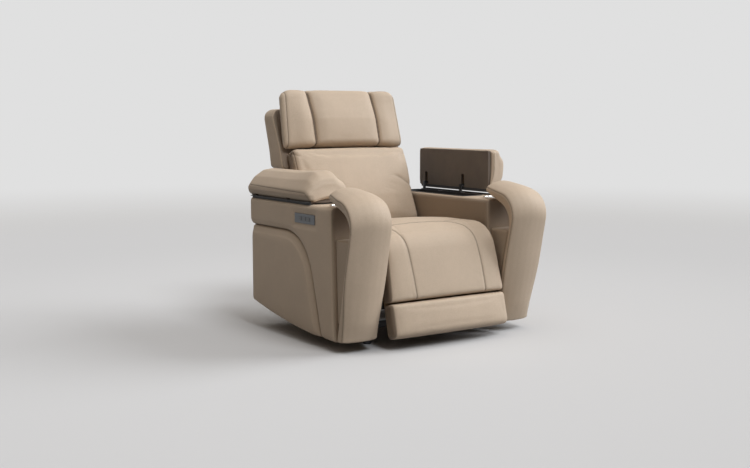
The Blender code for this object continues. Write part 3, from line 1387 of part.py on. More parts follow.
def back_plate_x():
    """Inner face of the back frame's side plates, against the shell."""
    return SHELL_LOWER_HALF + FIT


def back_shell(finish):
    """Upholstered shell: level rings from the narrow foot between the arms to the round-cornered head."""
    levels = []
    shoulder = SHELL_SHOULDER_Z
    for z, half in ((SHELL_FOOT_Z, SHELL_LOWER_HALF), ((SHELL_FOOT_Z + shoulder) / 2, SHELL_LOWER_HALF),
                    (shoulder, SHELL_LOWER_HALF)):
        levels.append((z, half, 0))
    widen = SHELL_UPPER_HALF - SHELL_LOWER_HALF
    for share in SHELL_SHOULDER_SHARES:
        half = SHELL_LOWER_HALF + widen * math.sqrt(share)
        levels.append((shoulder + SHELL_SHOULDER_RISE * share, half, 0))
    levels.append(((shoulder + SHELL_TOP_Z) / 2, SHELL_UPPER_HALF, 0))
    for far, drop in rounded_end(5):
        z = SHELL_TOP_Z - SHELL_TOP_R * far
        levels.append((z, SHELL_UPPER_HALF - SHELL_TOP_R * drop, drop))
    rings = []
    for z, half, drop in levels:
        front = BACK_REF_Y + (z - BACK_REF_Z) * math.tan(math.radians(BACK_LEAN))
        rear = SHELL_REAR_REF_Y + (z - SHELL_REAR_REF_Z) * math.tan(math.radians(SHELL_REAR_LEAN))
        rear -= SHELL_TOP_ROUND * drop
        ring = []
        ring += arc((half - SHELL_FRONT_R, front + SHELL_FRONT_R), SHELL_FRONT_R, -90, 0, 2)
        ring += arc((half - SHELL_REAR_R, rear - SHELL_REAR_R), SHELL_REAR_R, 0, 90, 3)
        ring += arc((SHELL_REAR_R - half, rear - SHELL_REAR_R), SHELL_REAR_R, 90, 180, 3)
        ring += arc((SHELL_FRONT_R - half, front + SHELL_FRONT_R), SHELL_FRONT_R, 180, 270, 2)
        rings.append([(x, y, z) for x, y in ring])
    body = place("back_shell", loft(rings), finish, (0, *BACK_PIVOT), sharp=50.0)
    cut(body, headrest_strap(FIT, OVERRUN))


def back_frame(finish):
    """Welded back carrier: a pivot tube, two side plates on the shell and the drive's lug."""
    low = back_plate_x()
    high = low + BACK_PLATE_THICKNESS
    tilt = math.radians(BACK_LEAN)
    top = BACK_PLATE_TOP_Z
    foot_y = BACK_PIVOT[0] + (SHELL_FOOT_Z - BACK_PIVOT[1]) * math.tan(tilt)
    top_y = foot_y + (top - SHELL_FOOT_Z) * math.tan(tilt) + BACK_EAR_R / 2
    outline = arc(BACK_PIVOT, BACK_EAR_R, 200, 340, 6)
    outline += [(top_y + BACK_EAR_R * 2, top), (top_y, top)]
    bore = circle(BACK_PIVOT, BACK_PIN_R + RUNNING, LINK_FACETS)
    pivot = (0, *BACK_PIVOT)
    frame = place("back_frame", plate([outline, bore], "X", low, high), finish, pivot)
    other = mirrored(plate([outline, bore], "X", low, high), -1)
    reach = low + WELD
    # The tube hangs in front of the plates' ears, so that the pivot pins stay free.
    centre = (BACK_PIVOT[0] - BACK_EAR_R / 2, BACK_PIVOT[1] - BACK_EAR_R + BACK_TUBE_R / 2)
    tube = turned([(BACK_TUBE_R, -reach), (BACK_TUBE_R, reach)], "X", centre, 16)
    weld(frame, other)
    weld(frame, tube)
    weld_lug(frame, centre, crank_pin(BACK_PIVOT, BACK_CRANK_R, RECLINE_DEG), DRIVE_X)


def back_cushion(finish):
    normal = back_normal()
    rings = []
    foot, head = BACK_CUSHION_FOOT, BACK_CUSHION_HEAD
    height = BACK_CUSHION_HEIGHT

    def ring(run, drop, crown, narrow):
        half = BACK_CUSHION_HALF - narrow
        return station(back_point(run, FIT), normal, height - FIT - drop, crown, half, depth=0)

    for far, drop in reversed(rounded_end(3)):
        crown = BACK_CUSHION_CROWN * BACK_FOOT_CROWN_SHARE * (1 - drop)
        rings.append(ring(foot + CUSHION_END_R * far, CUSHION_END_R * drop, crown,
                          CUSHION_END_R * drop / 3))
    for share in BACK_RING_SHARES:
        bulge = BACK_CUSHION_CROWN + BACK_CUSHION_LUMBAR * math.sin(math.pi * share)
        growth = min(1, BACK_FOOT_CROWN_SHARE + share * BACK_CROWN_RISE)
        rings.append(ring(foot + (head - foot) * share, 0, bulge * growth, 0))
    for far, drop in rounded_end(3):
        crown = BACK_CUSHION_CROWN * (BACK_HEAD_CROWN_SHARES[0] - BACK_HEAD_CROWN_SHARES[1] * drop)
        rings.append(ring(head - CUSHION_END_R * far, CUSHION_END_R * drop, crown,
                          CUSHION_END_R * drop / 3))
    place("back_cushion", loft(rings), finish, (0, *BACK_PIVOT), sharp=50.0)


def head_pivot():
    """The headrest's hinge rod lies in the slit between the two cushions."""
    return back_point(BACK_CUSHION_HEAD + HEAD_SLIT / 2, HEAD_PIVOT_HEIGHT)


def head_point(run, height):
    """Point run metres up the headrest's rear face, height metres in front of it."""
    lean = math.radians(HEAD_LEAN)
    start = back_point(BACK_CUSHION_HEAD + HEAD_SLIT, HEAD_LIFT)
    along = (math.sin(lean), math.cos(lean))
    forward = (-math.cos(lean), math.sin(lean))
    return add(start, add(times(along, run), times(forward, height)))


def head_crown(share):
    """Share of the full crown at a share of the headrest's run."""
    fade = min(1.0, max(0.0, (share - HEAD_CROWN_SHARE) / (1 - HEAD_CROWN_SHARE)))
    return HEAD_CROWN * (1 - fade * fade * (3 - 2 * fade))


def headrest_cushion(finish):
    """Puffy headrest with two deep sewn channels."""
    normal = sub(head_point(0, 1), head_point(0, 0))
    base = HEAD_PLATE_THICKNESS + FIT
    rings = []

    def ring(run, drop, crown, narrow, depth):
        half = HEAD_HALF_FOOT + (HEAD_HALF_TOP - HEAD_HALF_FOOT) * run / HEAD_RUN - narrow
        return station(head_point(run, base), normal, HEAD_HEIGHT - base - drop, crown, half,
                       HEAD_SEAM_X, depth, HEAD_SEAM_WIDTH)

    for far, drop in reversed(rounded_end(3)):
        crown = HEAD_CROWN * (1 - drop * HEAD_END_SHARE)
        rings.append(ring(HEAD_FOOT_RUN + HEAD_END_R * far, HEAD_END_R * drop, crown,
                          HEAD_END_R * drop / 3, HEAD_SEAM_DEPTH * (1 - drop)))
    for share in HEAD_RING_SHARES:
        rings.append(ring(HEAD_RUN * share, 0, head_crown(share), 0, HEAD_SEAM_DEPTH))
    for far, drop in rounded_end(4):
        run = HEAD_RUN - HEAD_TOP_R * far
        rings.append(ring(run, HEAD_END_R * drop, head_crown(run / HEAD_RUN) * (1 - drop),
                          HEAD_TOP_R * drop, HEAD_SEAM_DEPTH * (1 - drop * HEAD_END_SHARE)))
    place("headrest_cushion", loft(rings), finish, (0, *head_pivot()), sharp=50.0)


def headrest_frame(finish):
    """Plate behind the headrest with two ears in the slit and the hinge rod."""
    thickness = HEAD_PLATE_THICKNESS
    start = HEAD_PLATE_START
    outline = [head_point(start, 0), head_point(HEAD_PLATE_RUN, 0), head_point(HEAD_PLATE_RUN, thickness),
               head_point(start, thickness)]
    pivot = head_pivot()
    half = HEAD_EAR_HALF
    middle = BACK_CUSHION_HEAD + HEAD_SLIT / 2
    sheet = prism(outline, "X", -HEAD_PLATE_HALF, HEAD_PLATE_HALF)
    body = place("headrest_frame", sheet, finish, (0, *pivot))
    root = HEAD_STRIP * 3
    ear = [back_point(middle - half, HEAD_PIVOT_HEIGHT + half),
           back_point(middle - half, HEAD_PIVOT_HEIGHT - half),
           head_point(-half, thickness / 3), head_point(root, thickness / 3),
           head_point(root, thickness * 2 / 3), head_point(-FIT, thickness * 2 / 3),
           back_point(middle + half, HEAD_PIVOT_HEIGHT + half)]
    ears = []
    for side in (-1, 1):
        x0, x1 = sorted((side * (HEAD_EAR_X - HEAD_STRIP), side * HEAD_EAR_X))
        ears.append(prism(ear, "X", x0, x1))
    weld(body, merged(ears))
    weld(body, x_pin(pivot, HEAD_ROD_R, -HEAD_ROD_HALF, HEAD_ROD_HALF))


def headrest_strap(spread, proud):
    """The strap that is let into the shell, or its recess."""
    tail = BACK_CUSHION_HEAD - HEAD_ARM_FOOT - spread
    end = BACK_CUSHION_HEAD + HEAD_SLIT / 2 + HEAD_EAR_HALF + spread
    outline = [back_point(tail, -HEAD_STRIP - spread), back_point(end, -HEAD_STRIP - spread),
               back_point(end, proud), back_point(tail, proud)]
    return prism(outline, "X", -HEAD_ARM_X - spread, HEAD_ARM_X + spread)


def headrest_arms(finish):
    """Strap let into the shell with two bored arms that hold the headrest's rod in the slit."""
    middle = BACK_CUSHION_HEAD + HEAD_SLIT / 2
    half = HEAD_EAR_HALF
    pivot = head_pivot()
    body = place("headrest_arms", headrest_strap(0, 0), finish, (0, *BACK_PIVOT))
    bore = circle(pivot, HEAD_ROD_R + RUNNING, LINK_FACETS)
    foot = -HEAD_STRIP / 2
    arm = [back_point(middle - half, foot), back_point(middle + half - FIT, foot),
           back_point(middle + half - FIT, HEAD_PIVOT_HEIGHT + half),
           back_point(middle - half, HEAD_PIVOT_HEIGHT + half)]
    arms = []
    for side in (-1, 1):
        x0, x1 = sorted((side * (HEAD_ARM_X - WELD), side * (HEAD_ARM_X - WELD - HEAD_STRIP)))
        arms.append(plate([arm, bore], "X", x0, x1))
    weld(body, merged(arms))


# Controls, modelled for the right side and mirrored to the left

def control_housing(spread, proud):
    """The part of the panel that is let into the arm."""
    inset = HOUSING_INSET - spread
    low = (ARM_OUTER_X - HOUSING_DEPTH - spread, PANEL_Y0 + inset, PANEL_Z0 + inset)
    high = (ARM_OUTER_X + proud, PANEL_Y1 - inset, PANEL_Z1 - inset)
    return box(low, high)


def button_centres():
    middle = (PANEL_Y0 + PANEL_Y1) / 2
    first = middle - BUTTON_PITCH * (BUTTON_COUNT - 1) / 2
    return [first + BUTTON_PITCH * i for i in range(BUTTON_COUNT)]


def control_panel(side, finish):
    face = prism(rounded_rectangle((PANEL_Y0, PANEL_Z0), (PANEL_Y1, PANEL_Z1), PLATE_PROUD, 3),
                 "X", ARM_OUTER_X + FIT, ARM_OUTER_X + PLATE_PROUD)
    round_ends(face, "X", PLATE_EDGE_R, 2, ("high",))
    body = place("control_panel", mirrored(face, side), finish)
    weld(body, mirrored(control_housing(0, FIT + WELD), side))
    middle = (PANEL_Z0 + PANEL_Z1) / 2
    pockets = []
    for y in button_centres():
        half_y = BUTTON_LENGTH / 2 + BUTTON_CLEAR
        half_z = BUTTON_HEIGHT / 2 + BUTTON_CLEAR
        depth = button_base() - BUTTON_TRAVEL - BUTTON_CLEAR
        pockets.append(box((depth, y - half_y, middle - half_z),
                           (ARM_OUTER_X + PLATE_PROUD + OVERRUN, y + half_y, middle + half_z)))
    cut(body, mirrored(merged(pockets), side))


def button_base():
    return ARM_OUTER_X + PLATE_PROUD + BUTTON_PROUD - BUTTON_DEPTH


def buttons(side, finish):
    middle = (PANEL_Z0 + PANEL_Z1) / 2
    for number, y in enumerate(button_centres(), start=1):
        low = (y - BUTTON_LENGTH / 2, middle - BUTTON_HEIGHT / 2)
        high = (y + BUTTON_LENGTH / 2, middle + BUTTON_HEIGHT / 2)
        outline = rounded_rectangle(low, high, BUTTON_EDGE_R, 2)
        bm = prism(outline, "X", button_base(), button_base() + BUTTON_DEPTH)
        round_ends(bm, "X", BUTTON_EDGE_R / 2, 1, ("high",))
        place(f"button_{number}", mirrored(bm, side), finish, (side * button_base(), y, middle))


def build():
    clear_scene()
    leather = material("leather", (0.50, 0.41, 0.32), 0.55)
    lining = material("lining", (0.10, 0.075, 0.06), 0.75)
    black_plastic = material("black_plastic", (0.02, 0.02, 0.022), 0.45)
    black_steel = material("black_steel", (0.03, 0.03, 0.032), 0.4, 0.6)
    zinc_steel = material("zinc_steel", (0.45, 0.46, 0.47), 0.35, 1.0)
    stainless = material("stainless", (0.62, 0.62, 0.62), 0.2, 1.0)
    gunmetal = material("gunmetal", (0.22, 0.23, 0.25), 0.35, 1.0)
    plywood = material("plywood", (0.55, 0.40, 0.25), 0.7)
    base_frame(black_steel)
    feet(black_plastic)
    seat_frame(black_steel)
    for side_name, side in SIDES:
        opened = side > 0
        side_plate(side_name, side, black_steel)
        arm_body(side_name, side, leather)
        side_panel(side_name, side, leather)
        front_scroll(side_name, side, leather)
        front_post(side_name, side, leather)
        storage_tray(side_name, side, black_plastic)
        cup_holder(side_name, side, stainless)
        hinge_bracket(side_name, side, black_steel)
        lid_board(side_name, side, opened, lining)
        lid_pad(side_name, side, opened, leather)
        for number, y in enumerate((HINGE_FRONT_Y, HINGE_REAR_Y), start=1):
            lid_clevis(side_name, side, opened, y, number, zinc_steel)
        links(side_name, side, zinc_steel)
        footrest_bracket(side_name, side, black_steel)
    seat_cushion(leather)
    chaise_pad(leather)
    footrest_pad(leather)
    footrest_board(plywood)
    torque_tube(black_steel)
    pins = linkage()
    foot_motion = (pins["hip"], FOOT_CRANK_R, CHAISE_SLOPE, -DRIVE_X, 1, FOOT_DRIVE_FRONT_Y)
    back_motion = (BACK_PIVOT, BACK_CRANK_R, RECLINE_DEG, DRIVE_X, -1, BACK_DRIVE_REAR_Y)
    drive("footrest_drive", *foot_motion, black_plastic)
    fork("footrest_fork", *foot_motion, zinc_steel)
    drive("recline_drive", *back_motion, black_plastic)
    fork("recline_fork", *back_motion, zinc_steel)
    back_shell(leather)
    back_frame(black_steel)
    back_cushion(leather)
    headrest_cushion(leather)
    headrest_frame(black_steel)
    headrest_arms(black_steel)
    control_panel(-1, gunmetal)
    buttons(-1, black_plastic)


build()
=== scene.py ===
"""Upholstery, finishes and studio of a power recliner with one armrest lid open."""

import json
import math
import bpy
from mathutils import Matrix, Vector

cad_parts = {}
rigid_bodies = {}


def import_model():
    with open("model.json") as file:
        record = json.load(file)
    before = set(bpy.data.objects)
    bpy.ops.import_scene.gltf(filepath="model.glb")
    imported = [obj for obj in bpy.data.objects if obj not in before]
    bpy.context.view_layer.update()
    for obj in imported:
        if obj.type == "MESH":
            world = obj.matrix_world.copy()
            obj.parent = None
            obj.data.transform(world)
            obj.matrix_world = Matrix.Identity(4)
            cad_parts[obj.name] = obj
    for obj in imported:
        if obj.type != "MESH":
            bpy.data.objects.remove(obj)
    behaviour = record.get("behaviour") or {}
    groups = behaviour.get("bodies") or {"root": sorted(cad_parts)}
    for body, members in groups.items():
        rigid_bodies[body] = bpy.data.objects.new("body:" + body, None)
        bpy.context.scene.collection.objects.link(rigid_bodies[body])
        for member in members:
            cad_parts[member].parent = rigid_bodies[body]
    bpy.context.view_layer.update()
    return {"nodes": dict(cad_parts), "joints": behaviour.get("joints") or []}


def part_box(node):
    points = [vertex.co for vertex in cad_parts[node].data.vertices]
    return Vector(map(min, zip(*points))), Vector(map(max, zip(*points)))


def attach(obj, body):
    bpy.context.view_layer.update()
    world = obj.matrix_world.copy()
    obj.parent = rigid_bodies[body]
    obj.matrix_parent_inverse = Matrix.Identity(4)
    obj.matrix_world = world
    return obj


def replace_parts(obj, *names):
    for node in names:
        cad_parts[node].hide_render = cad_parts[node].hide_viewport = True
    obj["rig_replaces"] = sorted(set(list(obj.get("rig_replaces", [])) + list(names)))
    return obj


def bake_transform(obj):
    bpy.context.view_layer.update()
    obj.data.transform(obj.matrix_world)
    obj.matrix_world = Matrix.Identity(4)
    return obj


bl_info = {
    "name": "Power Recliner Upholstery",
    "version": (1, 0, 0),
    "blender": (4, 5, 0),
    "location": "View3D > Sidebar > Recliner",
    "description": "Dresses the recliner's CAD frame in leather and sets its studio",
    "category": "Object",
}

import bmesh
import bpy
import numpy as np
from bpy.props import FloatProperty, FloatVectorProperty, PointerProperty
from mathutils import Vector
from mathutils.bvhtree import BVHTree

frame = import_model()
NODES = frame["nodes"]
FAR = 0.05                      # seam attribute where no seam is near
CHAIR_Y = -0.023                # of the design's origin in this frame
SIDES = (("left", -1), ("right", 1))


def box_middle(node):
    low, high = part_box(node)
    return (low + high) / 2


MIDDLE_X = box_middle("back_shell").x


# Sizes and colours

def metres(name, default, description):
    return FloatProperty(name=name, description=description, default=default, unit="LENGTH")


def dye(name, default, description):
    return FloatVectorProperty(name=name, description=description, subtype="COLOR", size=3, default=default)


class RECLINER_PG_sizes(bpy.types.PropertyGroup):
    voxel: metres("Voxel", 0.006, "Remesh size of the cushions")
    fine_voxel: metres("Fine voxel", 0.005, "Remesh size of arms and scrolls")
    pressure: FloatProperty(name="Filling pressure", description="Pressure that swells a cushion", default=2.6)
    groove_depth: metres("Seam depth", 0.0022, "How deep a sewn seam draws the leather in")
    groove_width: metres("Seam reach", 0.0075, "Half width of the dip along a seam")
    stitch_length: metres("Stitch length", 0.0042, "Length of one stitch")
    stitch_pitch: metres("Stitch pitch", 0.0062, "Distance from stitch to stitch")
    stitch_radius: metres("Thread radius", 0.00045, "Half the sewing thread's thickness")
    stitch_offset: metres("Stitch offset", 0.0042, "Distance of a top stitch from its seam")
    rivet_radius: metres("Rivet radius", 0.0042, "Radius of a rivet's or screw's head")
    rivet_height: metres("Rivet height", 0.0018, "Height of a rivet's or screw's head")


class RECLINER_PG_colours(bpy.types.PropertyGroup):
    leather: dye("Leather", (0.600, 0.468, 0.342), "Lit leather")
    # dark leather in grain and seams, also the colour of the painted shade in hollows, folds and beside seams
    leather_dark: dye("Leather in seams", (0.115, 0.080, 0.055), "Leather deep in its seams")
    thread: dye("Thread", (0.36, 0.275, 0.20), "Sewing thread")
    lining: dye("Lining", (0.150, 0.112, 0.082), "Lining of the lid boards")
    plastic: dye("Plastic", (0.018, 0.018, 0.020), "Black moulded plastic")
    steel: dye("Painted steel", (0.022, 0.022, 0.024), "Black paint on steel")
    zinc: dye("Zinc", (0.48, 0.49, 0.50), "Zinc-plated steel")
    stainless: dye("Stainless", (0.78, 0.77, 0.75), "Spun stainless steel")
    gunmetal: dye("Gunmetal", (0.115, 0.120, 0.126), "Brushed control plate")
    plywood: dye("Plywood", (0.42, 0.29, 0.17), "Board under the footrest")
    floor: dye("Floor", (0.652, 0.642, 0.632), "Floor near the recliner")
    backdrop: dye("Backdrop", (0.745, 0.745, 0.745), "Background behind the recliner")


def sizes():
    return bpy.context.scene.recliner_sizes


def colours():
    return bpy.context.scene.recliner_colours


# Mesh tools

DOUBLE = 1e-5                   # CAD points closer than this are one
TINY, NOTHING = 1e-6, 1e-9
SOFTENING = 0.5                 # share by which a smoothing step moves a point


def linked(name, data):
    obj = bpy.data.objects.new(name, data)
    bpy.context.scene.collection.objects.link(obj)
    return obj


def new_object(name, bm):
    mesh = bpy.data.meshes.new(name)
    bm.to_mesh(mesh)
    bm.free()
    return linked(name, mesh)


def merged_copy(name, nodes):
    """One object from copies of CAD nodes, their doubles merged."""
    bm = bmesh.new()
    for node in nodes:
        bm.from_mesh(NODES[node].data)
    bmesh.ops.remove_doubles(bm, verts=bm.verts, dist=DOUBLE)
    return new_object(name, bm)


def applied(obj):
    """Turns the evaluated object into its plain mesh and drops the modifiers."""
    depsgraph = bpy.context.evaluated_depsgraph_get()
    mesh = bpy.data.meshes.new_from_object(obj.evaluated_get(depsgraph))
    old = obj.data
    obj.modifiers.clear()
    obj.data = mesh
    mesh.name = obj.name
    bpy.data.meshes.remove(old)
    return obj


def points_of(obj):
    co = np.empty(len(obj.data.vertices) * 3, np.float32)
    obj.data.vertices.foreach_get("co", co)
    return co.reshape(-1, 3).astype(np.float64)


def normals_of(obj):
    found = np.empty(len(obj.data.vertices) * 3, np.float32)
    obj.data.vertex_normals.foreach_get("vector", found)
    return found.reshape(-1, 3).astype(np.float64)


def keep_on(mesh, name, values):
    """Keeps a number or a vector for each point on the mesh."""
    kind, field = ("FLOAT", "value") if values.ndim == 1 else ("FLOAT_VECTOR", "vector")
    attribute = mesh.attributes.new(name, kind, "POINT")
    attribute.data.foreach_set(field, values.astype(np.float32).ravel())


def set_points(obj, co):
    obj.data.vertices.foreach_set("co", co.astype(np.float32).ravel())
    obj.data.update()


def softened(obj, steps):
    if steps:
        relax = obj.modifiers.new("Relax", "SMOOTH")
        relax.factor = SOFTENING
        relax.iterations = steps
    return applied(obj)


def voxel_form(obj, voxel, smooth):
    remesh = obj.modifiers.new("Voxels", "REMESH")
    remesh.mode = "VOXEL"
    remesh.voxel_size = voxel
    return softened(obj, smooth)


def subdivided(obj):
    fine = obj.modifiers.new("Fine", "SUBSURF")
    fine.levels = fine.render_levels = 1
    return applied(obj)


def smooth_shaded(obj):
    obj.data.shade_smooth()
    return obj


def mirrored_copy(obj):
    """The left side's piece for the right side, mirrored about the chair's middle plane."""
    mesh = obj.data.copy()
    other = linked(obj.name.replace("left", "right"), mesh)
    co = points_of(other)
    co[:, 0] = 2 * MIDDLE_X - co[:, 0]
    set_points(other, co)
    mesh.flip_normals()
    return other


CLOTH = {"quality": 4, "mass": 0.25, "tension_stiffness": 12, "compression_stiffness": 12, "shear_stiffness": 6,
         "bending_stiffness": 0.4, "use_pressure": True, "vertex_group_mass": "held"}
CLOTH_FRAMES = 20               # in which a cushion fills


def inflated(obj, held, cap, pressure):
    """Cloth whose filling presses outwards; held points stay, no point moves further than the cap."""
    scene = bpy.context.scene
    start = points_of(obj)
    group = obj.vertex_groups.new(name="held")
    held = np.round(held, 1)
    for weight in np.unique(held):
        if weight > 0:
            group.add(np.nonzero(held == weight)[0].tolist(), float(weight), "REPLACE")
    cloth = obj.modifiers.new("Filling", "CLOTH")
    for name, value in CLOTH.items():
        setattr(cloth.settings, name, value)
    cloth.settings.uniform_pressure_force = pressure
    cloth.settings.effector_weights.gravity = 0
    cloth.point_cache.frame_start = 1
    cloth.point_cache.frame_end = CLOTH_FRAMES
    for step in range(CLOTH_FRAMES):
        scene.frame_set(step + 1)
    applied(obj)
    scene.frame_set(1)
    moved = points_of(obj) - start
    length = np.linalg.norm(moved, axis=1, keepdims=True)
    moved *= cap * np.tanh(length / cap) / np.maximum(length, NOTHING)
    set_points(obj, start + moved)
    obj.vertex_groups.clear()


def kept_near(obj, source, proud, sunk):
    """Holds the swollen skin within these depths of the CAD skin, so that the piece keeps its place and size."""
    bm = bmesh.new()
    bm.from_mesh(source.data)
    tree = BVHTree.FromBMesh(bm)
    bm.free()
    co = points_of(obj)
    for i, point in enumerate(co):
        near, normal, _, distance = tree.find_nearest(Vector(point))
        if distance > TINY:
            away = (Vector(point) - near) / distance
            limit = proud if away.dot(normal) > 0 else sunk
            co[i] = near + away * (limit * math.tanh(distance / limit))
    set_points(obj, co)


def eased(value, span):
    """0 below the span, 1 above it, and a smooth step between."""
    low, high = span
    t = np.clip((value - low) / (high - low), 0, 1)
    return t * t * (3 - 2 * t)


def fading(value, span):
    return 1 - eased(value, span)


# Seams

LINE_STEPS = 6                  # pieces of a seam's curve from point to point
FOLD_POWER = 1.6                # a higher one gives a fold steeper sides
FOLD_CORE = 0.42                # share of a fold's width that is shaded
DIP_SHARES = (0.65, 0.35)       # of a seam's soft dip and of its sharp bottom
DIP_BOTTOM = 0.22               # the bottom's share of the dip's width


def smooth_line(points):
    """Catmull-Rom curve through the points of a seam's chart."""
    pts = [np.array(p, float) for p in points]
    pts = [2 * pts[0] - pts[1], *pts, 2 * pts[-1] - pts[-2]]
    line = []
    for a, b, c, d in zip(pts, pts[1:], pts[2:], pts[3:]):
        for i in range(LINE_STEPS):
            t = i / LINE_STEPS
            line.append(0.5 * (2 * b + (c - a) * t + (2 * a - 5 * b + 4 * c - d) * t * t
                               + (3 * b - a - 3 * c + d) * t ** 3))
    line.append(pts[-2])
    return np.array(line)


def chart_distance(u, v, line):
    """Signed distance of chart points (u, v) from a line in the chart."""
    best = np.full(len(u), np.inf)
    signed = np.zeros(len(u))
    for (u0, v0), (u1, v1) in zip(line, line[1:]):
        du, dv = u1 - u0, v1 - v0
        t = np.clip(((u - u0) * du + (v - v0) * dv) / (du * du + dv * dv), 0, 1)
        eu, ev = u - u0 - t * du, v - v0 - t * dv
        distance = np.hypot(eu, ev)
        side = np.sign(du * ev - dv * eu)
        nearer = distance < best - NOTHING
        best = np.where(nearer, distance, best)
        signed = np.where(nearer, distance * np.where(side == 0, 1, side), signed)
    return signed


def write_seams(obj, seams):
    """Stores up to three seam distances on the mesh, for the leather to draw its lines."""
    count = len(obj.data.vertices)
    stored = np.full((count, 3), FAR, np.float32)
    for i, (values, keep) in enumerate(seams[:3]):
        away = np.sign(values) * FAR
        stored[:, i] = np.where(keep, np.clip(values, -FAR, FAR), np.where(away == 0, FAR, away))
    keep_on(obj.data, "seam", stored)


def fold_in(obj, folds):
    """Draws soft folds into the skin and stores the painted shade of each point, in them and in shaded places.

    folds holds (distance, where, depth, width, shade)."""
    co, normals = points_of(obj), normals_of(obj)
    sunk_in = shades = np.zeros(len(co))
    for values, keep, depth, width, shade in folds:
        near = np.abs(values) / width
        sunk_in = np.maximum(sunk_in, keep * depth * np.exp(-near ** FOLD_POWER))
        shades = np.maximum(shades, keep * shade * np.exp(-(near / FOLD_CORE) ** 2))
    set_points(obj, co - normals * sunk_in[:, None])
    keep_on(obj.data, "painted_shade", shades)


def shaded(where, shade=1.0, depth=0.0):
    """Painted shade without a line of its own: the skin is darkened, and a little sunk, wherever it lies."""
    return np.zeros(len(where)), where, depth, 1.0, shade


def seam_dip(seams, depth, width):
    """How far each point sinks: a soft dip with a sharp bottom along each seam."""
    dip = 0
    for values, keep in seams:
        near = np.abs(values)
        soft = np.exp(-(near / width) ** 2)
        sharp = np.exp(-near / (width * DIP_BOTTOM))
        dip = np.maximum(dip, np.where(keep, DIP_SHARES[0] * soft + DIP_SHARES[1] * sharp, 0))
    return depth * dip


def contour(obj, values, keep, level):
    """Points, skin normals and edges of the line on which the values pass the level."""
    mesh = obj.data
    mesh.calc_loop_triangles()
    triangles = np.empty(len(mesh.loop_triangles) * 3, np.int32)
    mesh.loop_triangles.foreach_get("vertices", triangles)
    triangles = triangles.reshape(-1, 3)
    shifted = values - level
    above = shifted > 0
    found = above[triangles]
    found = found.any(1) & ~found.all(1) & keep[triangles].all(1)
    triangles = triangles[found]
    if not len(triangles):
        return None
    first, second = triangles, triangles[:, [1, 2, 0]]
    crossed = above[first] != above[second]
    pairs = np.sort(np.stack([first[crossed], second[crossed]], -1), axis=1)
    unique, index = np.unique(pairs, axis=0, return_inverse=True)
    a, b = unique[:, 0], unique[:, 1]
    share = (shifted[a] / (shifted[a] - shifted[b]))[:, None]
    co, normals = points_of(obj), normals_of(obj)
    return (co[a] * (1 - share) + co[b] * share, normals[a] * (1 - share) + normals[b] * share,
            index.reshape(-1, 2))


# Node trees

class Tree:
    """Adds nodes by type name; values are plain ones or sockets of other nodes."""

    def __init__(self, tree):
        self.tree = tree

    def put(self, socket, value):
        if isinstance(value, bpy.types.NodeSocket):
            self.tree.links.new(value, socket)
        elif socket.type == "RGBA":
            socket.default_value = (*value[:3], 1.0)
        else:
            socket.default_value = value

    def node(self, kind, operation=None, mode=None, **inputs):
        made = self.tree.nodes.new(kind)
        if operation:
            made.operation = operation
        for name, value in (mode or {}).items():
            setattr(made, name, value)
        for name, value in inputs.items():
            key = int(name[1:]) if name[0] == "i" and name[1:].isdigit() else name.replace("_", " ")
            self.put(made.inputs[key], value)
        return made

    def math(self, operation, a, b=0.0, clamp=False):
        return self.node("ShaderNodeMath", operation, {"use_clamp": clamp}, i0=a, i1=b).outputs[0]

    def add(self, a, b):
        return self.math("ADD", a, b)

    def times(self, a, b):
        return self.math("MULTIPLY", a, b)

    def ramp(self, value, low, high, to_low=0.0, to_high=1.0):
        made = self.node("ShaderNodeMapRange", None, {"interpolation_type": "SMOOTHSTEP"}, Value=value,
                         From_Min=low, From_Max=high, To_Min=to_low, To_Max=to_high)
        return made.outputs["Result"]

    def mixed(self, share, a, b):
        return self.node("ShaderNodeMix", None, {"data_type": "RGBA"}, i0=share, i6=a, i7=b).outputs[2]

    def scaled(self, colour, share):
        return self.node("ShaderNodeVectorMath", "SCALE", i0=colour, Scale=share).outputs[0]

    def place(self):
        return self.node("ShaderNodeTexCoord").outputs["Object"]

    def bend(self):
        return self.node("ShaderNodeNewGeometry").outputs["Pointiness"]

    def noise(self, place, scale, detail, **more):
        return self.node("ShaderNodeTexNoise", Vector=place, Scale=scale, Detail=detail, **more).outputs[0]

    def cells(self, place, scale, feature="DISTANCE_TO_EDGE"):
        return self.node("ShaderNodeTexVoronoi", None, {"feature": feature}, Vector=place,
                         Scale=scale).outputs["Distance"]

    def bump(self, height, strength, distance, **more):
        return self.node("ShaderNodeBump", Strength=strength, Distance=distance, Height=height, **more).outputs[0]

    def stored(self, name, output):
        return self.node("ShaderNodeAttribute", None, {"attribute_name": name}).outputs[output]


def shader(name, node="ShaderNodeBsdfPrincipled"):
    """A material with its surface node, and the helper that adds nodes to it."""
    material = bpy.data.materials.new(name)
    material.use_nodes = True
    material.node_tree.nodes.clear()
    graph = Tree(material.node_tree)
    surface = graph.node(node)
    graph.node("ShaderNodeOutputMaterial", Surface=surface.outputs[0])
    return material, graph, surface


def varied(colour, factor, lift=0.0):
    return tuple(min(1.0, c * factor + lift) for c in colour)


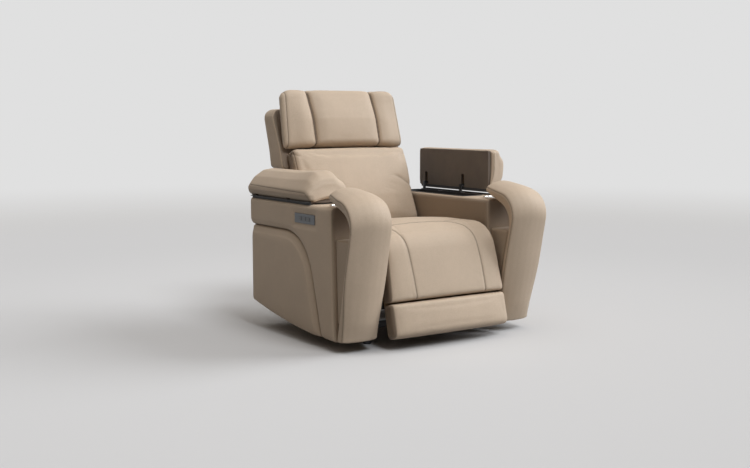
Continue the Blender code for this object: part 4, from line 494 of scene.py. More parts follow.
def leather(graph, place, colour, dark):
    """Matte leather: pebbled grain, fine creases, mottled dye, seams dark with worn shoulders. Painted shade
    darkens its hollows, its folds and shaded places, and the skin beside each seam.
    """
    clouds = graph.noise(place, 7.0, 3.0, Roughness=0.55)
    mottle = graph.noise(place, 55.0, 4.0, Roughness=0.6)
    warp = graph.node("ShaderNodeTexNoise", Vector=place, Scale=240.0, Detail=2.0).outputs["Color"]
    bent = graph.node("ShaderNodeVectorMath", "MULTIPLY_ADD", i0=warp, i1=(0.0022, 0.0022, 0.0022), i2=place)
    pebbles = graph.cells(bent.outputs[0], 520.0)
    pores = graph.noise(place, 1500.0, 2.0)
    creases = graph.cells(bent.outputs[0], 95.0)
    parts = graph.node("ShaderNodeSeparateXYZ", Vector=graph.stored("seam", "Vector"))
    near = graph.math("ABSOLUTE", parts.outputs[0])
    for i in (1, 2):
        near = graph.math("MINIMUM", near, graph.math("ABSOLUTE", parts.outputs[i]))
    bend = graph.bend()
    worn = graph.ramp(bend, 0.505, 0.545)
    tone = graph.add(graph.add(graph.times(clouds, 0.15), graph.times(mottle, 0.07)), 0.89)
    dyed = graph.mixed(graph.ramp(pebbles, 0.0, 0.25, 0.16, 0.0), graph.scaled(colour, tone), dark)
    dyed = graph.mixed(graph.times(worn, 0.22), dyed, varied(colour, 1.18, 0.02))
    # painted shade in hollows (by Pointiness), painted shade from the stored attribute, painted shade beside each
    # seam, and the dark seam line
    for depth, share in ((graph.ramp(bend, 0.40, 0.495, 1.0, 0.0), 0.55), (graph.stored("painted_shade", "Fac"), 0.78),
                         (graph.ramp(near, 0.001, 0.009, 1.0, 0.0), 0.20),
                         (graph.ramp(near, 0.0005, 0.0014, 1.0, 0.0), 0.85)):
        dyed = graph.mixed(graph.times(depth, share), dyed, dark)
    height = graph.add(graph.times(graph.ramp(pebbles, 0.0, 0.30), 0.7), graph.times(pores, 0.25))
    height = graph.add(height, graph.times(graph.ramp(creases, 0.0, 0.12), 0.9))
    fine = graph.bump(height, 0.35, 0.00028)
    broad = graph.bump(graph.add(graph.times(clouds, 0.5), graph.times(mottle, 0.12)), 0.35, 0.006, Normal=fine)
    groove = graph.bump(graph.ramp(near, 0.0, 0.0028), 0.8, 0.0012, Normal=broad)
    rough = graph.math("SUBTRACT", graph.add(graph.times(mottle, 0.14), 0.50), graph.times(worn, 0.08))
    return dict(Base_Color=dyed, Roughness=rough, Normal=groove, IOR=1.37, Sheen_Weight=0.06,
                Sheen_Roughness=0.5)


def lining(graph, place, colour):
    """Short-napped woven lining."""
    waves = [graph.node("ShaderNodeTexWave", None, {"bands_direction": direction}, Vector=place, Scale=210.0,
                        Distortion=0.8, Detail=1.0).outputs["Fac"] for direction in ("Y", "Z")]
    weave = graph.times(*waves)
    tone = graph.add(graph.times(graph.noise(place, 14.0, 5.0), 0.5), 0.72)
    dyed = graph.mixed(graph.times(weave, 0.25), graph.scaled(colour, tone), varied(colour, 0.55))
    return dict(Base_Color=dyed, Roughness=0.85, Normal=graph.bump(weave, 0.5, 0.0004),
                Sheen_Weight=0.25, Sheen_Roughness=0.6)


def plastic(graph, place, colour, rough=0.42):
    """Moulded plastic with a spark-eroded texture and scuffed edges."""
    grit = graph.cells(place, 1400.0, "F1")
    dust = graph.noise(place, 30.0, 6.0)
    edge = graph.ramp(graph.bend(), 0.52, 0.60)
    dyed = graph.mixed(graph.ramp(dust, 0.45, 0.8, 0.0, 0.25), colour, varied(colour, 2.6, 0.01))
    dyed = graph.mixed(graph.times(edge, 0.4), dyed, varied(colour, 3, 0.02))
    return dict(Base_Color=dyed, Roughness=graph.add(graph.times(dust, 0.2), rough - 0.1),
                Normal=graph.bump(grit, 0.25, 0.0002), IOR=1.48)


def paint(graph, place, colour):
    """Powder coat on steel: orange peel, dusty patches, bare metal at worn edges."""
    peel = graph.noise(place, 420.0, 2.0)
    patch = graph.noise(place, 22.0, 8.0, Roughness=0.65)
    edge = graph.ramp(graph.bend(), 0.53, 0.62)
    bare = graph.math("MULTIPLY", edge, graph.ramp(patch, 0.5, 0.62), True)
    dyed = graph.mixed(graph.ramp(patch, 0.4, 0.75, 0.0, 0.35), colour, varied(colour, 2.2, 0.008))
    dyed = graph.mixed(bare, dyed, (0.42, 0.42, 0.43))
    return dict(Base_Color=dyed, Roughness=graph.add(graph.times(patch, 0.3), 0.25), Metallic=bare,
                Normal=graph.bump(peel, 0.3, 0.0003))


def metal(graph, place, colour, rough, brush):
    """Bare or plated metal. brush stretches its fine marks along each axis."""
    stretched = graph.node("ShaderNodeMapping", Vector=place, Scale=brush).outputs[0]
    marks = graph.noise(stretched, 1.0, 3.0)
    tone = graph.add(graph.times(graph.noise(place, 45.0, 5.0), 0.22), 0.88)
    dyed = graph.mixed(graph.times(marks, 0.3), graph.scaled(colour, tone), varied(colour, 0.6))
    return dict(Base_Color=dyed, Roughness=graph.add(graph.times(marks, 0.18), rough - 0.06),
                Metallic=1.0, Normal=graph.bump(marks, 0.18, 0.0002))


def plywood(graph, place, colour):
    """Birch plywood: long grain on the faces."""
    grained = graph.node("ShaderNodeMapping", Vector=place, Scale=(2.0, 34.0, 34.0)).outputs[0]
    rings = graph.noise(grained, 2.0, 6.0, Distortion=0.6)
    fibres = graph.noise(grained, 22.0, 3.0)
    dyed = graph.mixed(graph.ramp(rings, 0.35, 0.7), colour, varied(colour, 0.62))
    dyed = graph.mixed(graph.times(fibres, 0.3), dyed, varied(colour, 1.4))
    return dict(Base_Color=dyed, Roughness=0.7, Normal=graph.bump(fibres, 0.3, 0.0004))


def finish(name):
    """The named finish, made once from the colour settings."""
    if name in bpy.data.materials:
        return bpy.data.materials[name]
    c = {key: tuple(getattr(colours(), key)) for key in RECLINER_PG_colours.__annotations__}
    material, graph, surface = shader(name)
    maker, *values = {
        "cushion_leather": (leather, c["leather"], c["leather_dark"]),
        "sewing_thread": (lining, c["thread"]),
        "lid_lining": (lining, c["lining"]),
        # black cloth for the strips, binding and rear sheet, standing in for shade
        "shade_cloth": (lining, c["plastic"]),
        "tray_plastic": (plastic, c["plastic"]),
        "button_plastic": (plastic, varied(c["plastic"], 1, 0.035), 0.35),
        "frame_paint": (paint, c["steel"]),
        "link_zinc": (metal, c["zinc"], 0.34, (60.0, 60.0, 60.0)),
        "cup_steel": (metal, c["stainless"], 0.20, (40.0, 40.0, 900.0)),
        "plate_metal": (metal, c["gunmetal"], 0.34, (40.0, 60.0, 1400.0)),
        "board_plywood": (plywood, c["plywood"]),
    }[name]
    for label, value in maker(graph, graph.place(), *values).items():
        graph.put(surface.inputs[label.replace("_", " ")], value)
    return material


def dress_node(node, name):
    """Gives a CAD node that stays a procedural finish."""
    mesh = NODES[node].data
    mesh.materials.clear()
    mesh.materials.append(finish(name))


# Geometry Nodes: stitches and rivets

SOCKETS = {"Material": "NodeSocketMaterial"}    # any other input is a number


def geometry_tree(name, *labels):
    """A tree with the named inputs after its geometry. Returns it with its ends and the inputs' identifiers."""
    tree = bpy.data.node_groups.new(name, "GeometryNodeTree")
    tree.interface.new_socket("Geometry", in_out="INPUT", socket_type="NodeSocketGeometry")
    ids = {label: tree.interface.new_socket(
        label, in_out="INPUT", socket_type=SOCKETS.get(label, "NodeSocketFloat")).identifier for label in labels}
    tree.interface.new_socket("Geometry", in_out="OUTPUT", socket_type="NodeSocketGeometry")
    tree["ids"] = ids
    graph = Tree(tree)
    return graph, graph.node("NodeGroupInput").outputs, graph.node("NodeGroupOutput")


def closing(graph, start, end, points, piece, turn, size):
    """Lays a piece on each point. Realize Instances and Set Material end each tree."""
    laid = graph.node("GeometryNodeInstanceOnPoints", Points=points, Instance=piece, Rotation=turn, Scale=size)
    real = graph.node("GeometryNodeRealizeInstances", Geometry=laid.outputs[0]).outputs[0]
    graph.put(end.inputs[0], graph.node("GeometryNodeSetMaterial", Geometry=real,
                                        Material=start["Material"]).outputs[0])
    return graph.tree


def up_normal(graph):
    return graph.node("GeometryNodeInputNamedAttribute", None, {"data_type": "FLOAT_VECTOR"}, Name="up").outputs[0]


def stitch_tree():
    """Stitches laid end to end along a line: each is a small round of thread that dips at its ends."""
    graph, start, end = geometry_tree("Stitches", "Pitch", "Length", "Radius", "Material")
    curve = graph.node("GeometryNodeMeshToCurve", Mesh=start["Geometry"]).outputs[0]
    even = graph.node("GeometryNodeResampleCurve", None, {"mode": "LENGTH"}, Curve=curve,
                      Length=start["Pitch"]).outputs[0]
    along = graph.node("GeometryNodeInputTangent").outputs[0]
    turn = graph.node("FunctionNodeAxesToRotation", None, {"primary_axis": "X", "secondary_axis": "Z"},
                      Primary_Axis=along, Secondary_Axis=up_normal(graph)).outputs[0]
    ball = graph.node("GeometryNodeMeshUVSphere", Segments=6, Rings=4, Radius=0.5).outputs[0]
    thick = graph.times(start["Radius"], 2.0)
    size = graph.node("ShaderNodeCombineXYZ", X=start["Length"], Y=thick, Z=thick).outputs[0]
    return closing(graph, start, end, even, ball, turn, size)


def rivet_tree():
    """Round rivet heads on points, each turned to its point's normal."""
    graph, start, end = geometry_tree("Rivets", "Radius", "Height", "Material")
    turn = graph.node("FunctionNodeAlignRotationToVector", None, {"axis": "Z"}, Vector=up_normal(graph)).outputs[0]
    head = graph.node("GeometryNodeMeshCylinder", Vertices=14, Radius=1.0, Depth=0.7).outputs[0]
    dome = graph.node("GeometryNodeMeshCone", Vertices=14, Radius_Top=0.62, Radius_Bottom=1.0, Depth=0.3).outputs[0]
    raised = graph.node("GeometryNodeTransform", Geometry=dome, Translation=(0, 0, 0.35)).outputs[0]
    joined = graph.node("GeometryNodeJoinGeometry")
    for part in (head, raised):
        graph.put(joined.inputs[0], part)
    size = graph.node("ShaderNodeCombineXYZ", X=start["Radius"], Y=start["Radius"], Z=start["Height"]).outputs[0]
    points = graph.node("GeometryNodeMeshToPoints", Mesh=start["Geometry"]).outputs[0]
    return closing(graph, start, end, points, joined.outputs[0], turn, size)


def grown(name, mesh, tree, values):
    """Runs a tree on a mesh line or its points, and keeps the result as a plain mesh."""
    obj = linked(name, mesh)
    modifier = obj.modifiers.new("Grown", "NODES")
    modifier.node_group = tree
    for label, value in values.items():
        modifier[tree["ids"][label]] = value
    return applied(obj)


def line_mesh(name, points, edges, ups):
    """Points and edges for a tree to run on, each point with the direction that is up there."""
    mesh = bpy.data.meshes.new(name)
    mesh.from_pydata(points, edges, [])
    keep_on(mesh, "up", np.array(ups).reshape(-1, 3))
    return mesh


def stitched(name, obj, seams, *offsets):
    """Top stitches beside the seams of a piece, at these distances."""
    lines = filter(None, [contour(obj, values, keep, offset) for values, keep in seams for offset in offsets])
    points, ups, edges = [], [], []
    for line, up, ends in lines:
        edges += (ends + len(points)).tolist()
        points += line.tolist()
        ups += up.tolist()
    s = sizes()
    values = {"Pitch": s.stitch_pitch, "Length": s.stitch_length, "Radius": s.stitch_radius,
              "Material": finish("sewing_thread")}
    tree = bpy.data.node_groups.get("Stitches") or stitch_tree()
    return smooth_shaded(grown(name, line_mesh(name, points, edges, ups), tree, values))


def riveted(name, point, direction, body):
    """A rivet's head at a point, riding on a body."""
    s = sizes()
    values = {"Radius": s.rivet_radius, "Height": s.rivet_height, "Material": finish("link_zinc")}
    tree = bpy.data.node_groups.get("Rivets") or rivet_tree()
    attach(grown(name, line_mesh(name, [point], [], [direction]), tree, values), body)


# Soft pieces

SHRINK = 0.004                  # a cushion starts to swell this far inside its CAD skin
SEAM_REACH = 0.006              # half width of what a seam holds
REAR_FACING, REAR_HELD = 0.5, 0.8       # a cushion's rear, by its normal, and how firmly its carrier holds it


def soft_piece(name, nodes, seams_of, held_of, fine=False, smooth=3, cap=0.012, proud=0.003, sunk=0.002,
               dip=1.0, shaped=None, folds_of=None, relaxed=2):
    """Copies CAD solids, swells them as cloth, sews their seams in, and gives them leather.

    seams_of(co, normals) gives [(signed distance, where it is sewn)]. held_of(co, normals, seams) gives how
    firmly each point is held while the filling presses, and without it nothing swells. shaped(co, normals)
    moves the swollen points, relaxed counts the smoothing steps after that, and folds_of(co, normals) gives
    the soft folds and their shade."""
    source = merged_copy(name + "_source", nodes)
    obj = merged_copy(name, nodes)
    voxel_form(obj, sizes().fine_voxel if fine else sizes().voxel, smooth)
    co, normals = points_of(obj), normals_of(obj)
    if held_of:
        set_points(obj, co - normals * SHRINK)
        co = points_of(obj)
        inflated(obj, held_of(co, normals, seams_of(co, normals)), cap, sizes().pressure)
    kept_near(obj, source, proud, sunk)
    bpy.data.objects.remove(source)
    if shaped:
        set_points(obj, shaped(points_of(obj), normals_of(obj)))
    softened(obj, relaxed)
    subdivided(obj)
    if folds_of:
        fold_in(obj, folds_of(points_of(obj), normals_of(obj)))
    co, normals = points_of(obj), normals_of(obj)
    seams = seams_of(co, normals)
    if seams:
        sunk_in = seam_dip(seams, sizes().groove_depth * dip, sizes().groove_width)
        set_points(obj, co - normals * sunk_in[:, None])
    write_seams(obj, seams)
    obj.data.materials.clear()
    obj.data.materials.append(finish("cushion_leather"))
    return smooth_shaded(obj), seams


def covers(piece, node, body):
    """The padded piece rides on the body in place of its CAD node."""
    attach(piece, body)
    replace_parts(piece, node)


def held_by(seams, still, weight, reach=SEAM_REACH):
    """How firmly the seams hold the leather, and its carrier where it is still."""
    held = np.where(still, weight, 0.0)
    for values, keep in seams:
        held = np.maximum(held, np.where(keep, np.exp(-(values / reach) ** 2), 0))
    return held


def rear_held(co, normals, seams):
    return held_by(seams, normals[:, 1] > REAR_FACING, REAR_HELD)


def no_seams(co, normals):
    return []


def chair_x(co):
    return co[:, 0] - MIDDLE_X


def fuller_sides(co, left, right, reach):
    """Bulges the sides of a cushion by these widths, over this reach."""
    x = chair_x(co)
    half = np.abs(x).max()
    moved = co.copy()
    moved[:, 0] += np.where(x < 0, -left, right) * eased(np.abs(x), (half - reach, half))
    return moved


# The seat and the upper footrest pad are one cover, charted along the skin's run.
# Its lines are (x, run) points. Here and below, a form sets in over a span: a pair of places, of heights or of
# shares of a normal, which eased() and fading() take.

BEND_Y, BEND_Z = -0.313, 0.372          # centre of the bend
BEND_R = 0.140
SLOPE = math.radians(76.0)
BEND_END = (-BEND_R * math.sin(SLOPE), BEND_R * math.cos(SLOPE))
CROSS_SEAM = ((-0.330, 0.018), (-0.175, 0.022), (-0.054, 0.026), (0.050, 0.031), (0.105, 0.042), (0.150, 0.066),
              (0.172, 0.092), (0.183, 0.125), (0.190, 0.170), (0.198, 0.260), (0.199, 0.420))
REAR_SEAM = ((0.075, 0.034), (0.190, 0.004), (0.330, -0.028))
LEFT_SEAM = ((-0.300, 0.024), (-0.250, 0.042), (-0.216, 0.072), (-0.198, 0.112), (-0.190, 0.160), (-0.184, 0.240),
             (-0.180, 0.330), (-0.178, 0.420))
SKIN_FACING = 0.35                      # the outer skin, by its normal
SEAT_HELD = 0.6
SEAT_FULL_RUN = (-0.05, 0.20)
PAD_SIDES = (-0.012, 0.006, 0.060)      # bulge at the left and the right, and its reach
PAD_REAR_FACING = 0.3
SIDE_FACING, SIDE_SHADE_Z = (0.50, 0.85), (0.36, 0.46)


def skin_run(co):
    """Distance along the top, the bend and the slope, from the bend's start."""
    y, z = co[:, 1] - BEND_Y, co[:, 2] - BEND_Z
    angle = np.clip(np.arctan2(-y, z), 0, SLOPE)
    down = -(y - BEND_END[0]) * math.cos(SLOPE) - (z - BEND_END[1]) * math.sin(SLOPE)
    return np.where(y > 0, -y, np.where(angle >= SLOPE - TINY, BEND_R * SLOPE + np.maximum(down, 0),
                                        BEND_R * angle))


def outer_skin(co, normals):
    """True on the seat's upper and front faces."""
    y, z = co[:, 1] - BEND_Y, co[:, 2] - BEND_Z
    angle = np.where(y > 0, 0, np.clip(np.arctan2(-y, np.maximum(z, TINY)), 0, SLOPE))
    return -normals[:, 1] * np.sin(angle) + normals[:, 2] * np.cos(angle) > SKIN_FACING


def seat_seams(co, normals):
    skin = outer_skin(co, normals)
    return [(chart_distance(chair_x(co), skin_run(co), smooth_line(seam)), skin)
            for seam in (CROSS_SEAM, LEFT_SEAM, REAR_SEAM)]


def seat_held(co, normals, seams):
    return held_by(seams, ~outer_skin(co, normals), SEAT_HELD)


def seat_shaped(co, normals):
    """Fuller sides round the bend and down the slope."""
    share = eased(skin_run(co), SEAT_FULL_RUN)
    return co + (fuller_sides(co, *PAD_SIDES) - co) * share[:, None]


def side_shade(co, normals):
    """Deep shade on the side towards the left scroll."""
    return [shaded(eased(-normals[:, 0], SIDE_FACING) * fading(co[:, 2], SIDE_SHADE_Z))]


class RECLINER_OT_seat(bpy.types.Operator):
    """Sew the seat and the upper footrest pad as one cover"""
    bl_idname = "recliner.seat"
    bl_label = "Seat cushion"

    def execute(self, context):
        seat, seams = soft_piece("seat_cover", ("seat_cushion", "chaise_pad"), seat_seams, seat_held, smooth=8,
                                 cap=0.022, proud=0.006, sunk=0.003, shaped=seat_shaped, folds_of=side_shade,
                                 relaxed=6)
        off = sizes().stitch_offset
        rows = stitched("seat_stitches", seat, seams[:2], -off, off)
        for piece in (seat, rows):
            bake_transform(piece)
        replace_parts(seat, "seat_cushion", "chaise_pad")
        return {"FINISHED"}


class RECLINER_OT_footrest_pad(bpy.types.Operator):
    """Fill the lower footrest pad"""
    bl_idname = "recliner.footrest_pad"
    bl_label = "Footrest pad"

    def execute(self, context):
        pad, _ = soft_piece("footrest_cover", ("footrest_pad",), no_seams,
                            lambda co, n, seams: held_by(seams, n[:, 1] > PAD_REAR_FACING, REAR_HELD), smooth=7,
                            cap=0.005, shaped=lambda co, n: fuller_sides(co, *PAD_SIDES), folds_of=side_shade,
                            relaxed=9)
        covers(pad, "footrest_pad", "footrest")
        return {"FINISHED"}


# Back. A fold's sink is its depth, its width and its shade

BACK_SIDES = (0.018, 0.018, 0.140)      # bulge at the left and the right, and its reach
BACK_WIDENS_Z = (0.60, 0.74)            # above the arms the cushion is wider than between them
BACK_LOW_SHARE = 0.25                   # of its bulge, between the arms
BACK_EDGE, BACK_FLARE = 0.006, 0.016    # inset of the edge's seam, and what it gains above the arms
BACK_FACING, FOLD_FACING = 0.45, 0.3
LUMBAR_FOLD = ((0.150, 0.700), (0.200, 0.696), (0.245, 0.680), (0.285, 0.655), (0.320, 0.640))
LUMBAR_X, LUMBAR_SINK = (0.15, 0.27), (0.0032, 0.010, 0.35)
CORNER_FOLD = ((-0.335, 0.812), (-0.322, 0.806), (-0.308, 0.800), (-0.292, 0.797))
CORNER_X, CORNER_SINK = (0.285, 0.31), (0.0025, 0.007, 0.45)
BACK_MIDDLE = (0.133, 0.444, 0.40)      # y and z of the side's middle line at its foot, and its lean
REAR_SIDE_FACING, REAR_SIDE_Y = (0.6, 0.9), (0.020, 0.060)
FOOT_Z, FOOT_X, FOOT_SHADE = (0.47, 0.63), (0.02, 0.22), 0.42


def back_seams(co, normals):
    low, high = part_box("back_cushion")
    edge = (high.x - low.x) / 2 - BACK_EDGE + BACK_FLARE * eased(co[:, 2], BACK_WIDENS_Z)
    return [(np.abs(chair_x(co)) - edge, normals[:, 1] < BACK_FACING)]


def back_shaped(co, normals):
    """Wider above the arms."""
    share = BACK_LOW_SHARE + (1 - BACK_LOW_SHARE) * eased(co[:, 2], BACK_WIDENS_Z)
    return co + (fuller_sides(co, *BACK_SIDES) - co) * share[:, None]


def back_folds(co, normals):
    """Creases beside the lumbar filling, a pleat at each top corner, and shade at the rear and the foot."""
    x, z = chair_x(co), co[:, 2]
    front = normals[:, 1] < FOLD_FACING
    folds = []
    for sign in (-1, 1):
        lumbar = chart_distance(sign * x, z, smooth_line(LUMBAR_FOLD))
        folds.append((lumbar, front * eased(sign * x, LUMBAR_X), *LUMBAR_SINK))
        corner = chart_distance(-sign * x, z, smooth_line(CORNER_FOLD))
        folds.append((corner, front * eased(sign * x, CORNER_X), *CORNER_SINK))
    middle_y, middle_z, lean = BACK_MIDDLE
    behind = co[:, 1] - (middle_y + lean * (z - middle_z))
    folds.append(shaded(eased(np.abs(normals[:, 0]), REAR_SIDE_FACING) * eased(behind, REAR_SIDE_Y), 0.9, 0.001))
    folds.append(shaded(FOOT_SHADE * fading(z, FOOT_Z) * eased(x, FOOT_X)))
    return folds


class RECLINER_OT_back(bpy.types.Operator):
    """Fill the lower back cushion"""
    bl_idname = "recliner.back"
    bl_label = "Back cushion"

    def execute(self, context):
        back, _ = soft_piece("back_cover", ("back_cushion",), back_seams, rear_held, smooth=6, cap=0.022,
                             proud=0.005, shaped=back_shaped, folds_of=back_folds, relaxed=9)
        covers(back, "back_cushion", "back")
        return {"FINISHED"}


HEAD_CHANNELS = (-0.181, 0.185)
# depth, width and painted shade of each channel's broad dip and of its sharp bottom
CHANNEL_SINKS = ((0.006, 0.026, 0.0), (0.012, 0.006, 0.8))
CHANNEL_DEPTHS = (0.70, 0.45)           # share of the depth at the foot, and what it gains to the top
CHANNEL_REACH = 0.008                   # half width of what a channel holds
HEAD_EDGE, HEAD_TAPER = 0.006, 0.017    # inset of the edge's seam, and what the headrest narrows to the top
HEAD_FACING = 0.35
HEAD_LEFT, HEAD_RIGHT, HEAD_REACH = (0.010, 0.010), 0.009, 0.05
HEAD_PLUMP, PLUMP_X, PLUMP_SHARE = 0.006, (0.0, 0.060), (0.0, 0.2)


def head_share(co):
    """0 at the headrest's foot, 1 at its top."""
    low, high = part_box("headrest_cushion")
    return np.clip((co[:, 2] - low.z) / (high.z - low.z), 0, 1)


def head_seams(co, normals):
    """The two channels and the edge of the front."""
    x = chair_x(co)
    low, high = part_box("headrest_cushion")
    half = (high.x - low.x) / 2 - HEAD_TAPER * head_share(co)
    front = normals[:, 1] < HEAD_FACING
    return [(x - HEAD_CHANNELS[0], front), (x - HEAD_CHANNELS[1], front),
            (np.abs(x) - (half - HEAD_EDGE), front)]


def head_held(co, normals, seams):
    return held_by(seams[:2], normals[:, 1] > REAR_FACING, REAR_HELD, CHANNEL_REACH)


def head_shaped(co, normals):
    """Fuller sides and a plump front between the channels."""
    x, share = chair_x(co), head_share(co)
    moved = fuller_sides(co, HEAD_LEFT[0] + HEAD_LEFT[1] * share, HEAD_RIGHT, HEAD_REACH)
    nearest = np.minimum(np.abs(x - HEAD_CHANNELS[0]), np.abs(x - HEAD_CHANNELS[1]))
    front = np.clip(-normals[:, 1], 0, 1)
    plump = HEAD_PLUMP * eased(nearest, PLUMP_X) * front * eased(share, PLUMP_SHARE)
    return moved + normals * plump[:, None]


def head_folds(co, normals):
    """The two sewn channels, deepest and with the darkest painted shade at the top."""
    foot, gain = CHANNEL_DEPTHS
    front = (normals[:, 1] < HEAD_FACING) * (foot + gain * head_share(co))
    return [(chair_x(co) - channel, front, *sink) for channel in HEAD_CHANNELS for sink in CHANNEL_SINKS]


class RECLINER_OT_headrest(bpy.types.Operator):
    """Fill the headrest between its two deep channels"""
    bl_idname = "recliner.headrest"
    bl_label = "Headrest"

    def execute(self, context):
        head, _ = soft_piece("headrest_cover", ("headrest_cushion",), head_seams, head_held, smooth=7, cap=0.024,
                             proud=0.007, shaped=head_shaped, folds_of=head_folds, relaxed=4)
        covers(head, "headrest_cushion", "headrest")
        return {"FINISHED"}


SHELL_HALF = 0.285                      # half the shell's width below its wings
SHELL_EDGE = 0.030                      # inset of its rear seams
SHELL_FACING = 0.2
WING_FOOT_Z, WING_TOP_Z = 0.765, 0.775
WING_GAP = 0.04                         # the rear seams stop this far from the wings' feet
WING_DROP, WING_X, WING_Z = 0.026, (0.285, 0.300), (0.765, 0.830)
SHELL_SHADE_FACING = (0.3, 0.7)


def shell_seams(co, normals):
    low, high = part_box("back_shell")
    half = np.where(co[:, 2] > WING_TOP_Z, (high.x - low.x) / 2, SHELL_HALF)
    rear = (normals[:, 1] > SHELL_FACING) & (np.abs(co[:, 2] - WING_FOOT_Z) > WING_GAP)
    return [(np.abs(chair_x(co)) - (half - SHELL_EDGE), rear)]


def shell_shaped(co, normals):
    """The wings reach down to the lids."""
    moved = co.copy()
    moved[:, 2] -= WING_DROP * (eased(np.abs(chair_x(co)), WING_X) * fading(co[:, 2], WING_Z))
    return moved


def shell_folds(co, normals):
    """Shade on the front, behind the cushions."""
    return [shaded(eased(-normals[:, 1], SHELL_SHADE_FACING), 0.95, 0.001)]


class RECLINER_OT_shell(bpy.types.Operator):
    """Cover the shell behind the back cushions"""
    bl_idname = "recliner.shell"
    bl_label = "Back shell"

    def execute(self, context):
        shell, _ = soft_piece("shell_cover", ("back_shell",), shell_seams, None, proud=0.0015,
                              shaped=shell_shaped, folds_of=shell_folds)
        covers(shell, "back_shell", "back")
        return {"FINISHED"}


# Arms: the left side's pieces, and their mirrored copies for the right side

OUTER_X = 0.480                         # an arm's outer face lies beyond this
LID_SEAM_FRONT = (-0.172, 0.6545)       # y and z of the ridge's seam at two places along the lid
LID_SEAM_REAR = (0.360, 0.6675)
RIDGE_X, RIDGE_DROP, RIDGE_DROP_Y = -0.500, 0.045, (-0.200, -0.152)
BAND_LEAN, BAND_LEAN_Z, BAND_LEAN_X = 0.006, (0.0, 0.040), (0.480, 0.505)
BAND_SHADE_Z, BAND_SHADE_X = (0.004, 0.012), (0.490, 0.505)
NOSE_LIFT, NOSE_Y, NOSE_X = 0.030, (-0.198, -0.174), (-0.520, -0.400)
NOSE_TOP_Z, NOSE_HEIGHT = 0.668, 0.053
CREST, CREST_Y, CREST_X = 0.011, (-0.150, 0.060), (-0.540, -0.450)
LID_FOOT_FACING, LID_HELD = -0.4, 0.9
LID_PIVOT = (0.502, 0.640)              # x and z of the right lid's hinge


def lid_ridge(co, normals):
    """The ridge seam along the outer side, falling to the lid's foot at the front end."""
    (y0, z0), (y1, z1) = LID_SEAM_FRONT, LID_SEAM_REAR
    height = z0 + (z1 - z0) * (co[:, 1] - y0) / (y1 - y0) - RIDGE_DROP * fading(co[:, 1], RIDGE_DROP_Y)
    return [(co[:, 2] - height, chair_x(co) < RIDGE_X)]


def lid_shaped(co, normals):
    """The band under the ridge leans in, the front end's underside rises, and its top is fuller."""
    moved = co.copy()
    x, y, z = chair_x(co), co[:, 1], co[:, 2]
    moved[:, 0] += BAND_LEAN * eased(LID_SEAM_FRONT[1] - z, BAND_LEAN_Z) * eased(-x, BAND_LEAN_X)
    low = np.clip((NOSE_TOP_Z - z) / NOSE_HEIGHT, 0, 1)
    moved[:, 2] += NOSE_LIFT * fading(y, NOSE_Y) * low * eased(x, NOSE_X)
    top = fading(y, CREST_Y) * eased(x, CREST_X) * np.clip(normals[:, 2], 0, 1)
    return moved + normals * (CREST * top)[:, None]


def lid_folds(co, normals):
    """The shaded band under the ridge."""
    band = eased(LID_SEAM_FRONT[1] - co[:, 2], BAND_SHADE_Z) * eased(-chair_x(co), BAND_SHADE_X)
    return [shaded(band, 0.40, 0.0005)]


def lid_held(co, normals, seams):
    return held_by(seams, normals[:, 2] < LID_FOOT_FACING, LID_HELD)


def sided(left, opened=False):
    """The left side's piece and its copy for the right side, swung open with its lid if asked."""
    right = mirrored_copy(left)
    if opened:
        co = points_of(right)
        x, z = MIDDLE_X + LID_PIVOT[0], LID_PIVOT[1]
        co[:, 0], co[:, 2] = x + (co[:, 2] - z), z - (co[:, 0] - x)
        set_points(right, co)
    return ("left", left), ("right", right)


class RECLINER_OT_lids(bpy.types.Operator):
    """Fill the lids' pads: one shut, the other open"""
    bl_idname = "recliner.lids"
    bl_label = "Armrest lids"

    def execute(self, context):
        left, seams = soft_piece("lid_cover_left", ("lid_pad_left",), lid_ridge, lid_held, True, smooth=8,
                                 proud=0.004, sunk=0.0015, dip=0.6, shaped=lid_shaped, folds_of=lid_folds,
                                 relaxed=6)
        rows = stitched("lid_stitches_left", left, seams, sizes().stitch_offset)
        for side, cover in sided(left, True):
            covers(cover, "lid_pad_" + side, "lid_" + side)
        for side, stitches in sided(rows, True):
            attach(stitches, "lid_" + side)
        return {"FINISHED"}


SCROLL_FOOT_Z = 0.0455
SCROLL_BACK = (-0.364 + CHAIR_Y, 13.5, 0.446, 0.097, 79.0, 0.112)      # foot's y, lean, run, bend's radius
SCROLL_FACE = (-0.414 + CHAIR_Y, 11.4, 0.484, 0.108, 90.0, 0.106)      # and turn, and the nose's length
NOSE_OVERRUN = 0.014
PATH_STEPS = 60
SCROLL_SEAM, SCROLL_BACK_DEPTH, SCROLL_HELD = 0.010, -0.020, 0.85
SCROLL_FULL = 0.004                     # bulge all round, and towards the seat and the outside
SCROLL_IN, SCROLL_OUT = 0.006, -0.017
FULL_DEPTH, FULL_Z, FULL_Y, FULL_ACROSS = (-0.050, -0.005), (0.06, 0.34), (-0.44, -0.34), (0.40, 1.0)
CURL_DEPTH, CURL_Z, CURL_SHADE = (-0.095, -0.070), (0.36, 0.48), 0.7


